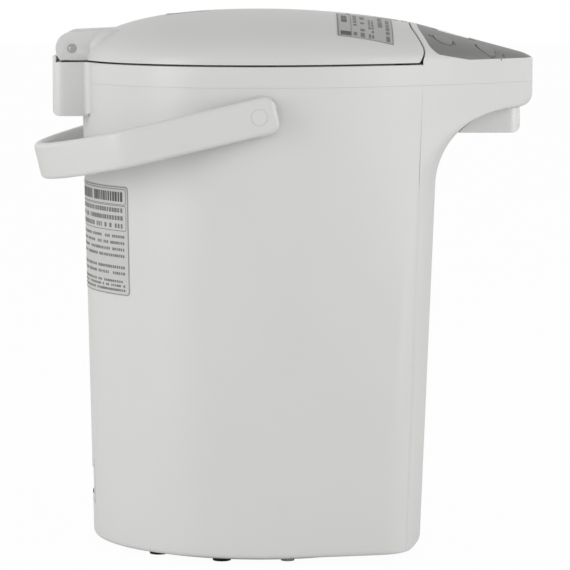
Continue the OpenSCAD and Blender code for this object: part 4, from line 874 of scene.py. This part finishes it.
# spout housing
spout = dict(half=15, front=8.1 - nose["reach"], rear=47.2 - nose["reach"], low=253.8, corner=7.5, round=5,
             edge=1.6)
half, front, rear, low = (spout[key] for key in ("half", "front", "rear", "low"))
outX, outY = half - spout["corner"], front + spout["corner"]
spoutPlan = np.concatenate([arc((outX, outY), spout["corner"], -90, 0, 14), [(half, rear), (-half, rear)],
                            arc((-outX, outY), spout["corner"], 180, 270, 14)])
# the spout housing takes the lighter colour: a painted highlight over the polished finish
spoutHousing = block(spoutPlan, low, 275, "spoutHousing", spoutGlossAndPaintedGleam)
turn = front + spout["round"], low + spout["round"]
frontProfile = np.concatenate([arc(turn, spout["round"], 180, 270, 12),
                               [(-100, low), (-100, 290), (front, 290)]])
archSide = slab(circle(archRadius - 0.55, (archY, archHeight), 240), 60)
cutAway(spoutHousing, archSide, slab(frontProfile, 60), operation="INTERSECT")
cutAway(spoutHousing, block(nozzlePlan, 250, 290))
shade(roundEdges(spoutHousing, spout["edge"], 50, 4))
placed(spoutHousing, "pot", "shell_white", "spout_housing")
print("spout made")


# what repeats: pads, bars, printed words
def newTree(name, sizes):
    tree = bpy.data.node_groups.new(name, "GeometryNodeTree")
    for key, value in sizes.items():
        kind = "NodeSocketInt" if isinstance(value, int) else "NodeSocketFloat"
        tree.interface.new_socket(key, in_out="INPUT", socket_type=kind).default_value = value
    tree.interface.new_socket("Finish", in_out="INPUT", socket_type="NodeSocketMaterial")
    tree.interface.new_socket("Geometry", in_out="OUTPUT", socket_type="NodeSocketGeometry")

    def add(kind, settings=None, links=None):
        return addNode(tree, kind, settings, links)

    return tree, add, addNode(tree, "NodeGroupInput").outputs


def treeEnd(tree, instances, finish):
    real = addNode(tree, "GeometryNodeRealizeInstances", None, {"Geometry": instances})
    links = {"Geometry": real.outputs[0], "Material": finish}
    coloured = addNode(tree, "GeometryNodeSetMaterial", None, links)
    addNode(tree, "NodeGroupOutput", None, {"Geometry": coloured.outputs[0]})
    return tree


def grown(tree, material, name="part", **sizes):
    piece = bpy.data.objects.new(name, bpy.data.meshes.new(name))
    scene.collection.objects.link(piece)
    growth = piece.modifiers.new("growth", "NODES")
    growth.node_group = tree
    for socket in tree.interface.items_tree:
        if socket.in_out == "INPUT":
            size = sizes.get(socket.name.replace(" ", ""), socket.default_value)
            growth[socket.identifier] = material if socket.name == "Finish" else size
    return painted(applied(piece), material)


def padRing():
    # rubber pads on a circle; the two places named stay free for the plain glides
    tree, add, given = newTree("pads on a ring", {
        "Count": 12, "Ring radius": 0.087, "Pad radius": 0.0055, "Height": 0.0019, "First bearing": 0.2548,
        "Free place": 6, "Other free place": 11})
    ring = add("GeometryNodeMeshCircle", None, {"Vertices": given["Count"], "Radius": given["Ring radius"]})
    angle = add("ShaderNodeCombineXYZ", None, {"Z": given["First bearing"]})
    turned = add("GeometryNodeTransform", None, {"Geometry": ring.outputs[0], "Rotation": angle.outputs[0]})
    index = add("GeometryNodeInputIndex")
    equal = {"data_type": "INT", "operation": "EQUAL"}
    free = [add("FunctionNodeCompare", equal, {2: index.outputs[0], 3: given[key]})
            for key in ("Free place", "Other free place")]
    both = {0: free[0].outputs[0], 1: free[1].outputs[0]}
    either = add("FunctionNodeBooleanMath", {"operation": "OR"}, both)
    kept = add("GeometryNodeDeleteGeometry", {"domain": "POINT"},
               {"Geometry": turned.outputs[0], "Selection": either.outputs[0]})
    pad = add("GeometryNodeMeshCylinder", {"Vertices": 40},
              {"Radius": given["Pad radius"], "Depth": given["Height"]})
    pads = add("GeometryNodeInstanceOnPoints", None, {"Points": kept.outputs[0], "Instance": pad.outputs[0]})
    return treeEnd(tree, pads.outputs[0], given["Finish"])


def barRow():
    # equal bars side by side, centred, with their length along X
    tree, add, given = newTree("bars in a row", {
        "Count": 5, "Pitch": 0.004, "Length": 0.02, "Width": 0.001, "Thickness": 0.001})
    spacing = add("ShaderNodeCombineXYZ", None, {"Y": given["Pitch"]})
    line = add("GeometryNodeMeshLine", None, {"Count": given["Count"], "Offset": spacing.outputs[0]})
    last = add("ShaderNodeMath", {"operation": "SUBTRACT", 1: 1.0}, {0: given["Count"]})
    reach = add("ShaderNodeMath", {"operation": "MULTIPLY"}, {0: last.outputs[0], 1: given["Pitch"]})
    back = add("ShaderNodeMath", {"operation": "MULTIPLY", 1: -0.5}, {0: reach.outputs[0]})
    shift = add("ShaderNodeCombineXYZ", None, {"Y": back.outputs[0]})
    centred = add("GeometryNodeTransform", None,
                  {"Geometry": line.outputs[0], "Translation": shift.outputs[0]})
    size = add("ShaderNodeCombineXYZ", None,
               {"X": given["Length"], "Y": given["Width"], "Z": given["Thickness"]})
    bar = add("GeometryNodeMeshCube", None, {"Size": size.outputs[0]})
    row = add("GeometryNodeInstanceOnPoints", None,
              {"Points": centred.outputs[0], "Instance": bar.outputs[0]})
    return treeEnd(tree, row.outputs[0], given["Finish"])


def wordRows():
    # rows of flat blocks of uneven length, in place of printed words
    tree, add, given = newTree("printed words", {
        "Columns": 8, "Rows": 4, "Width": 0.08, "Height": 0.02, "Word": 0.01, "Stroke": 0.0016,
        "Missing": 0.12, "Seed": 3})
    places = add("GeometryNodeMeshGrid", None, {"Size X": given["Width"], "Size Y": given["Height"],
                                                "Vertices X": given["Columns"], "Vertices Y": given["Rows"]})
    chance = add("FunctionNodeRandomValue", {"data_type": "FLOAT"}, {"Seed": given["Seed"]})
    gone = add("FunctionNodeCompare", {"data_type": "FLOAT", "operation": "LESS_THAN"},
               {0: chance.outputs[1], 1: given["Missing"]})
    kept = add("GeometryNodeDeleteGeometry", {"domain": "POINT"},
               {"Geometry": places.outputs[0], "Selection": gone.outputs[0]})
    other = add("ShaderNodeMath", {"operation": "ADD", 1: 7.0}, {0: given["Seed"]})
    length = add("FunctionNodeRandomValue", {"data_type": "FLOAT", "Min": 0.55, "Max": 1.0},
                 {"Seed": other.outputs[0]})
    scale = add("ShaderNodeCombineXYZ", {"Y": 1.0, "Z": 1.0}, {"X": length.outputs[1]})
    word = add("GeometryNodeMeshGrid", {"Vertices X": 7, "Vertices Y": 2},
               {"Size X": given["Word"], "Size Y": given["Stroke"]})
    words = add("GeometryNodeInstanceOnPoints", None,
                {"Points": kept.outputs[0], "Instance": word.outputs[0], "Scale": scale.outputs[0]})
    return treeEnd(tree, words.outputs[0], given["Finish"])


padTree, barTree, wordTree = padRing(), barRow(), wordRows()
pads = grown(padTree, blackRubber, "rubberPads")
pads.data.transform(Matrix.Translation((0, 0, 0.00095)))
placed(shade(roundEdges(pads, 0.35)), "base", "black_rubber", "rubber_pads")
print("pads made")


# steam vent: a rounded tray in the lid with slats across it
def reshaped(piece, move):
    points = np.empty(len(piece.data.vertices) * 3)
    piece.data.vertices.foreach_get("co", points)
    piece.data.vertices.foreach_set("co", (np.asarray(move(points.reshape(-1, 3) * 1000)) / 1000).ravel())
    piece.data.update()
    return piece


def slatLean(p):
    # each slat turned about its own middle and moved into the tray
    middle = (np.round(p[:, 1] / vent["pitch"] - 0.5) + 0.5) * vent["pitch"]
    z = ventTop - vent["slatDrop"] + p[:, 2] + math.sin(math.radians(vent["lean"])) * (p[:, 1] - middle)
    return np.column_stack([p[:, 0], p[:, 1] + vent["y"], z])


ventTop, y = topZ((0, vent["y"]))[0] - vent["sunk"], vent["y"]
trayWidth, trayLength = vent["width"] - 2 * vent["room"], vent["length"] - 2 * vent["room"]
trayPlan = roundedRectangle(trayWidth, trayLength, vent["corner"] - vent["room"]) + (0, y)
mouthPlan = roundedRectangle(trayWidth - 2 * vent["rim"], trayLength - 2 * vent["rim"], vent["mouthCorner"])
mouthPlan += (0, y)
trayLow = ventTop - vent["depth"]
ventTray = cutAway(block(trayPlan, trayLow, ventTop), block(mouthPlan, ventTop - vent["floor"], ventTop + 5))
roundEdges(ventTray, vent["edge"])
neck = block(circle(vent["neck"], (0, y)), ventTop - vent["neckLow"], trayLow)
slats = grown(barTree, greyPp, Count=6, Pitch=0.0035, Length=0.0278, Width=0.0026, Thickness=0.0007)
reshaped(roundEdges(slats, 0.2), slatLean)
joinPieces("steamVent", [ventTray, neck, slats], greyPp, "lid", "grey_plastic", "steam_vent")

# lid lever: a rounded flap with grip ribs, its barrel and the arm that works the catch
sinL, cosL = math.sin(leverTilt), math.cos(leverTilt)
leverPin = (lever["y"] - lever["pinBack"] * cosL + lever["pinDrop"] * sinL,
            leverTop - lever["pinBack"] * sinL - lever["pinDrop"] * cosL)
front, rear, top, half = lever["gap"] - lever["length"], -lever["rear"], -lever["top"], lever["half"]
platePlan = roundedRectangle(2 * half, rear - front, lever["corner"]) + (0, (rear + front) / 2)
thumbProfile = ellipse(lever["thumbRun"], lever["thumbDeep"], 64) + (front + lever["thumbIn"], top)
thumb = leverPiece(acrossX(thumbProfile, lever["thumbHalf"]))
plate = cutAway(leverPiece(prism(platePlan, top - lever["plate"], top)), thumb)
roundEdges(plate, lever["edge"], 40)
lip = leverPiece(prism(roundedRectangle(2 * half - 1.6, 2, 0.8) + (0, front + 1), -lever["lip"], -1.6))
barrel = slab(circle(lever["barrel"], leverPin), half)
w, toeZ = lever["armThick"], -lever["arm"]
arm = slab(np.array([(-w, toeZ), (w, toeZ), (w, 0), (-w, 0)]) + leverPin, lever["armHalf"])
toe = slab(circle(w, (leverPin[0], leverPin[1] + toeZ), 24), lever["armHalf"])
ribs = grown(barTree, lidAbs, Count=4, Pitch=0.0024, Length=0.018, Width=0.0009, Thickness=0.0008)
ribPlace = 0, front + lever["thumbIn"], top - lever["ribDrop"]
reshaped(roundEdges(ribs, 0.2), lambda p: onLever(p + ribPlace))
joinPieces("lidLever", [plate, lip, barrel, arm, toe, ribs], lidAbs, "lever", "lid_white", "lid_lever")


# pivots' caps and the hinge pin's bright ends: turned buttons, as radius and height
def button(name, profile, side, x, y, z, material, rideOn, slotName):
    rings = [np.column_stack([np.full(48, side * (x + h)), circle(r, (y, z))]) for r, h in profile]
    placed(polyPiece(name, *tubeMesh(rings), material), rideOn, slotName)


capProfile = [(5.07, -1.5), (5.07, -0.22), (5.05, -0.17), (5, -0.13), (3.6, -0.08)]
pinProfile = [(2.45, -0.7), (2.45, -0.45), (2.3, -0.32), (1.7, -0.08), (0.9, 0.04), (0.2, 0.07)]
for side, name in ((1, "right"), (-1, "left")):
    outer = bail["inside"] + bail["thick"]
    button(name + "Cap", capProfile, side, outer, 0, bail["pivotZ"], handlePp, "pot", "handle_white")
    button(name + "PinEnd", pinProfile, side, lid["tabHalf"], pinY, pinZ, steel, "lid", "steel")
print("vent, lever and caps made")


# labels: thin film on the body's rear and on the lid, with grey bars in place of words
filmSize = dict(thick=0.06, inkRise=0.07, inkLift=0.03)


def film(piece):
    thick = piece.modifiers.new("film", "SOLIDIFY")
    thick.thickness, thick.offset = filmSize["thick"] / 1000, 0
    return applied(piece)


def sheetMesh(width, height, corner, columns=60):
    ends = np.linspace(0, corner, 7)
    v = np.concatenate([ends[:-1], np.linspace(corner, height - corner, 28), ends[1:] + height - corner])
    short = np.minimum(v, height - v)
    inset = np.where(short < corner, corner - np.sqrt(np.maximum(0, corner ** 2 - (corner - short) ** 2)), 0)
    u, n = np.linspace(-1, 1, columns + 1), columns + 1
    rows = [np.column_stack([u * (width / 2 - i), np.full(n, a - height / 2), 0 * u])
            for a, i in zip(v, inset)]
    return np.concatenate(rows), sum((gridFaces(j * n, (j + 1) * n, n, False) for j in range(len(v) - 1)), [])


def evenLoop(loop, count):
    return evenly(np.concatenate([loop, loop[:1]]), count)[:-1]


def frameMesh(width, height, corner, stroke):
    loops = [evenLoop(roundedRectangle(width - 2 * s, height - 2 * s, max(0.2, corner - s)), 240)
             for s in (0, stroke)]
    return np.concatenate([atZ(loop, 0) for loop in loops]), gridFaces(0, 240, 240)


def sheet(name, mesh, material, move, shift=(0, 0, 0)):
    return film(reshaped(polyPiece(name, mesh[0] + np.array(shift), mesh[1], material), move))


def printed(width, height, columns, rows, stroke, seed, material):
    # the rows' height spans from the first bar's top to the last one's foot
    share, step = 0.93, width / columns / 1000
    return grown(wordTree, material, Columns=columns, Rows=rows, Width=width / 1000 - step,
                 Height=max(0.01, height - stroke) / 1000, Word=share * step, Stroke=stroke / 1000, Seed=seed)


def printOn(name, move, rideOn, material, blocks, frames=()):
    # a block is its place, width, height, columns, rows, stroke and seed
    # a frame is its place, width, height, corner and stroke
    inks, rise = [], filmSize["inkRise"]
    for x, y, *words in blocks:
        inks.append(film(reshaped(printed(*words, material), lambda p: move(p + (x, y, rise)))))
    inks += [sheet("line", frameMesh(*size), material, move, (x, y, rise)) for x, y, *size in frames]
    joinPieces(name, inks, material, rideOn, "dark_plastic")


rearLabel = dict(width=104, height=66.3, z=191.8, bearing=106, corner=2.5, lift=0.12)


def onRear(points):
    z = rearLabel["z"] + points[:, 1]
    r = bodyRadius(z) + rearLabel["lift"] + points[:, 2]
    turn = math.radians(rearLabel["bearing"]) - points[:, 0] / bodyRadius(rearLabel["z"])
    return np.column_stack([r * np.cos(turn), r * np.sin(turn), z])


rearSheet = sheetMesh(rearLabel["width"], rearLabel["height"], rearLabel["corner"])
placed(sheet("rearLabel", rearSheet, rearFoil, onRear), "pot", "panel_grey")
printOn("rearTitle", onRear, "pot", boldInk, [(0, 26.6, 94, 5.8, 34, 1, 5.8, 5)])
printOn("rearPrint", onRear, "pot", labelInk,
        [(-2, 13.7, 90, 12.2, 30, 3, 2.7, 8), (0, -3.4, 96, 13.4, 44, 4, 1.7, 11),
         (0, -18, 96, 5.4, 44, 2, 1.7, 14), (-6, -27.4, 84, 6.6, 38, 3, 1.4, 21)],
        [(0, 0, 103.2, 65.5, 2.2, 0.4), (0, 26.6, 100, 9.8, 1.6, 0.4), (0, 13.6, 100, 15.4, 1.6, 0.4)])

inletRim = dict(width=46.4, height=26.4, z=38, corner=1.2, band=5, lift=0.02)


def onInlet(points):
    z = inletRim["z"] + points[:, 1]
    r, turn = bodyRadius(z) + inletRim["lift"] + points[:, 2], math.pi / 2 - points[:, 0] / bodyRadius(z)
    return np.column_stack([r * np.cos(turn), r * np.sin(turn), z])


rimMesh = frameMesh(inletRim["width"], inletRim["height"], inletRim["corner"], inletRim["band"])
placed(sheet("inletRim", rimMesh, whiteAbs, onInlet), "pot", "shell_white")

lidLabel = dict(length=64, width=34, far=-21, y=-63, taper=0.0032, taperStart=-46, lift=0.1, corner=1)


def onLid(points):
    # the length runs down the dome's near side, the width along the ridge; the near edge follows the lid's
    along = lidLabel["y"] - points[:, 1]
    narrow = 1 + lidLabel["taper"] * (along - lidLabel["taperStart"])
    across = lidLabel["far"] - (lidLabel["length"] / 2 + points[:, 0]) * narrow
    z = topZ(np.column_stack([across, along])) + lidLabel["lift"] + points[:, 2]
    return np.column_stack([across, along, z])


lidSheet = sheetMesh(lidLabel["length"], lidLabel["width"], lidLabel["corner"], 80)
placed(sheet("lidLabel", lidSheet, labelFoil, onLid), "lid", "panel_grey")
printOn("lidTitle", onLid, "lid", boldInk,
        [(0, -12.5, 40, 3.4, 3, 1, 3.4, 31), (27, -11.6, 6, 6.6, 1, 1, 6.6, 33)])
printOn("lidPrint", onLid, "lid", labelInk,
        [(2, -6, 58, 2.2, 7, 1, 2.2, 35), (4, -1.6, 54, 2.6, 7, 1, 2.6, 31),
         (10, 3.6, 42, 3.2, 6, 2, 1.3, 36), (2, 9.2, 58, 2.6, 8, 1, 2.6, 32),
         (6, 13.6, 50, 2.2, 6, 1, 2.2, 38)],
        [(0, 0, 63.2, 33.2, 0.8, 0.35), (0, -12.3, 61, 8, 0.8, 0.4)])

# small generic marks beside the keys, painted shadow in half rings round the keys, a line round the display
# and level ticks on the gauge
marks = []
# marks on each side: outline, distance from the middle, place along the nose and turn
keyMarks = [(ellipse(3.4, 2.2, 20), 47.7, -102.6, 0.3), (roundedRectangle(5.6, 0.9, 0.3), 46, -117.4, 0.2),
            (roundedRectangle(4.6, 0.9, 0.3), 33, -145.9, 0.4), (ellipse(2.2, 1.6, 16), 31.2, -148.3, 0)]


def addMark(outline, x, y, turn=0.0):
    c, s = math.cos(turn), math.sin(turn)
    plan = np.asarray(outline) @ np.array([[c, s], [-s, c]]) + (x, y)
    marks.append(film(polyPiece("mark", draped(plan, filmSize["inkLift"]), [tuple(range(len(plan)))])))


for x, y in keySpots.values():
    # painted shadow: a dark half ring on the key's outer side, standing for the shade in the gap round the
    # key
    ring = arc((0, 0), 1, 75, 285, 40)
    outline = np.concatenate([ring * (7.1, 6.6), ring[::-1] * (6.75, 6.25)])
    addMark(outline * (-1 if x > 0 else 1, 1), x, y)
for side in (-1, 1):
    for outline, x, y, turn in keyMarks:
        addMark(outline, side * x, y, -side * turn)
w, h, stroke = display["width"] + 5, display["length"] + 4, 2 * display["lineWidth"]
loops = [roundedRectangle(w, h, 2), roundedRectangle(w - stroke, h - stroke, 1.7)]
loops = [draped(evenLoop(loop, 96) + (0, display["y"]), filmSize["inkLift"]) for loop in loops]
marks.append(film(polyPiece("mark", np.concatenate(loops), gridFaces(0, 96, 96))))
joinPieces("panelMarksAndShadows", marks, markInkAndShadow, "pot", "dark_plastic")
ticks = grown(barTree, markInkAndShadow, Count=12, Pitch=0.0115, Length=0.0026, Width=0.0005, Thickness=0.00008)
reshaped(ticks, lambda p: onWindow(p + (gauge["tickX"], 0, gauge["tickLift"])))
longTicks = grown(barTree, markInkAndShadow, Count=4, Pitch=0.0345, Length=0.0042, Width=0.0007, Thickness=0.00008)
reshaped(longTicks, lambda p: onWindow(p + (gauge["longTickX"], gauge["longTickY"], gauge["tickLift"])))
joinPieces("gaugeMarks", [ticks, longTicks], markInkAndShadow, "pot", "dark_plastic")
print("labels and marks made")

# studio: a floor that the camera sees as white paper, a soft sky and two soft boxes
floor = bpy.data.objects.new("floor", bpy.data.meshes.new("floor"))
floor.data.from_pydata([(-9, -9, 0), (9, -9, 0), (9, 9, 0), (-9, 9, 0)], [], [(0, 1, 2, 3)])
scene.collection.objects.link(floor)
paper = bpy.data.materials.new("white studio paper")
paper.use_nodes = True
tree = paper.node_tree
shader = tree.nodes["Principled BSDF"]
shader.inputs["Base Color"].default_value = toLinear("#eeeeee")
shader.inputs["Roughness"].default_value = 0.9
glow = addNode(tree, "ShaderNodeEmission", {"Strength": 1.0})
rays = addNode(tree, "ShaderNodeLightPath")
share = addNode(tree, "ShaderNodeMath", {"operation": "MULTIPLY", 1: 0.97},
                {0: rays.outputs["Is Camera Ray"]})
blend = addNode(tree, "ShaderNodeMixShader", None,
                {0: share.outputs[0], 1: shader.outputs[0], 2: glow.outputs[0]})
tree.links.new(blend.outputs[0], tree.nodes["Material Output"].inputs["Surface"])
floor.data.materials.append(paper)

world = bpy.data.worlds.new("studio")
scene.world = world
world.use_nodes = True
tree = world.node_tree
rays = addNode(tree, "ShaderNodeLightPath")
place = addNode(tree, "ShaderNodeTexCoord")
split = addNode(tree, "ShaderNodeSeparateXYZ", None, {0: place.outputs["Generated"]})
# brighter towards the horizon, and dimmer behind the camera
skyRange = {"From Min": -0.1, "From Max": 0.9, "To Min": 1.02, "To Max": 0.52}
dimRange = {"From Min": -1, "From Max": 0, "To Min": 0.84, "To Max": 1}
sky = addNode(tree, "ShaderNodeMapRange", skyRange, {"Value": split.outputs["Z"]})
dim = addNode(tree, "ShaderNodeMapRange", dimRange, {"Value": split.outputs["X"]})
shaded = addNode(tree, "ShaderNodeMath", {"operation": "MULTIPLY"}, {0: sky.outputs[0], 1: dim.outputs[0]})
seen = addNode(tree, "ShaderNodeMath", {"operation": "MAXIMUM"},
               {0: rays.outputs["Is Camera Ray"], 1: shaded.outputs[0]})
tree.links.new(seen.outputs[0], tree.nodes["Background"].inputs["Strength"])
tree.nodes["Background"].inputs["Color"].default_value = (1, 1, 1, 1)


def softBox(name, place, size, power):
    lamp = bpy.data.objects.new(name, bpy.data.lights.new(name, "AREA"))
    lamp.data.shape, lamp.data.size, lamp.data.size_y, lamp.data.energy = "RECTANGLE", *size, power
    lamp.location = place
    lamp.rotation_euler = (Vector((0, 0, 0.16)) - Vector(place)).to_track_quat("-Z", "Y").to_euler()
    scene.collection.objects.link(lamp)


softBox("rearBox", (-0.9, 1.5, 0.5), (0.6, 1.4), 11.5)
softBox("frontBox", (-0.9, -1.7, 0.6), (0.8, 1.4), 12)
print("studio made")
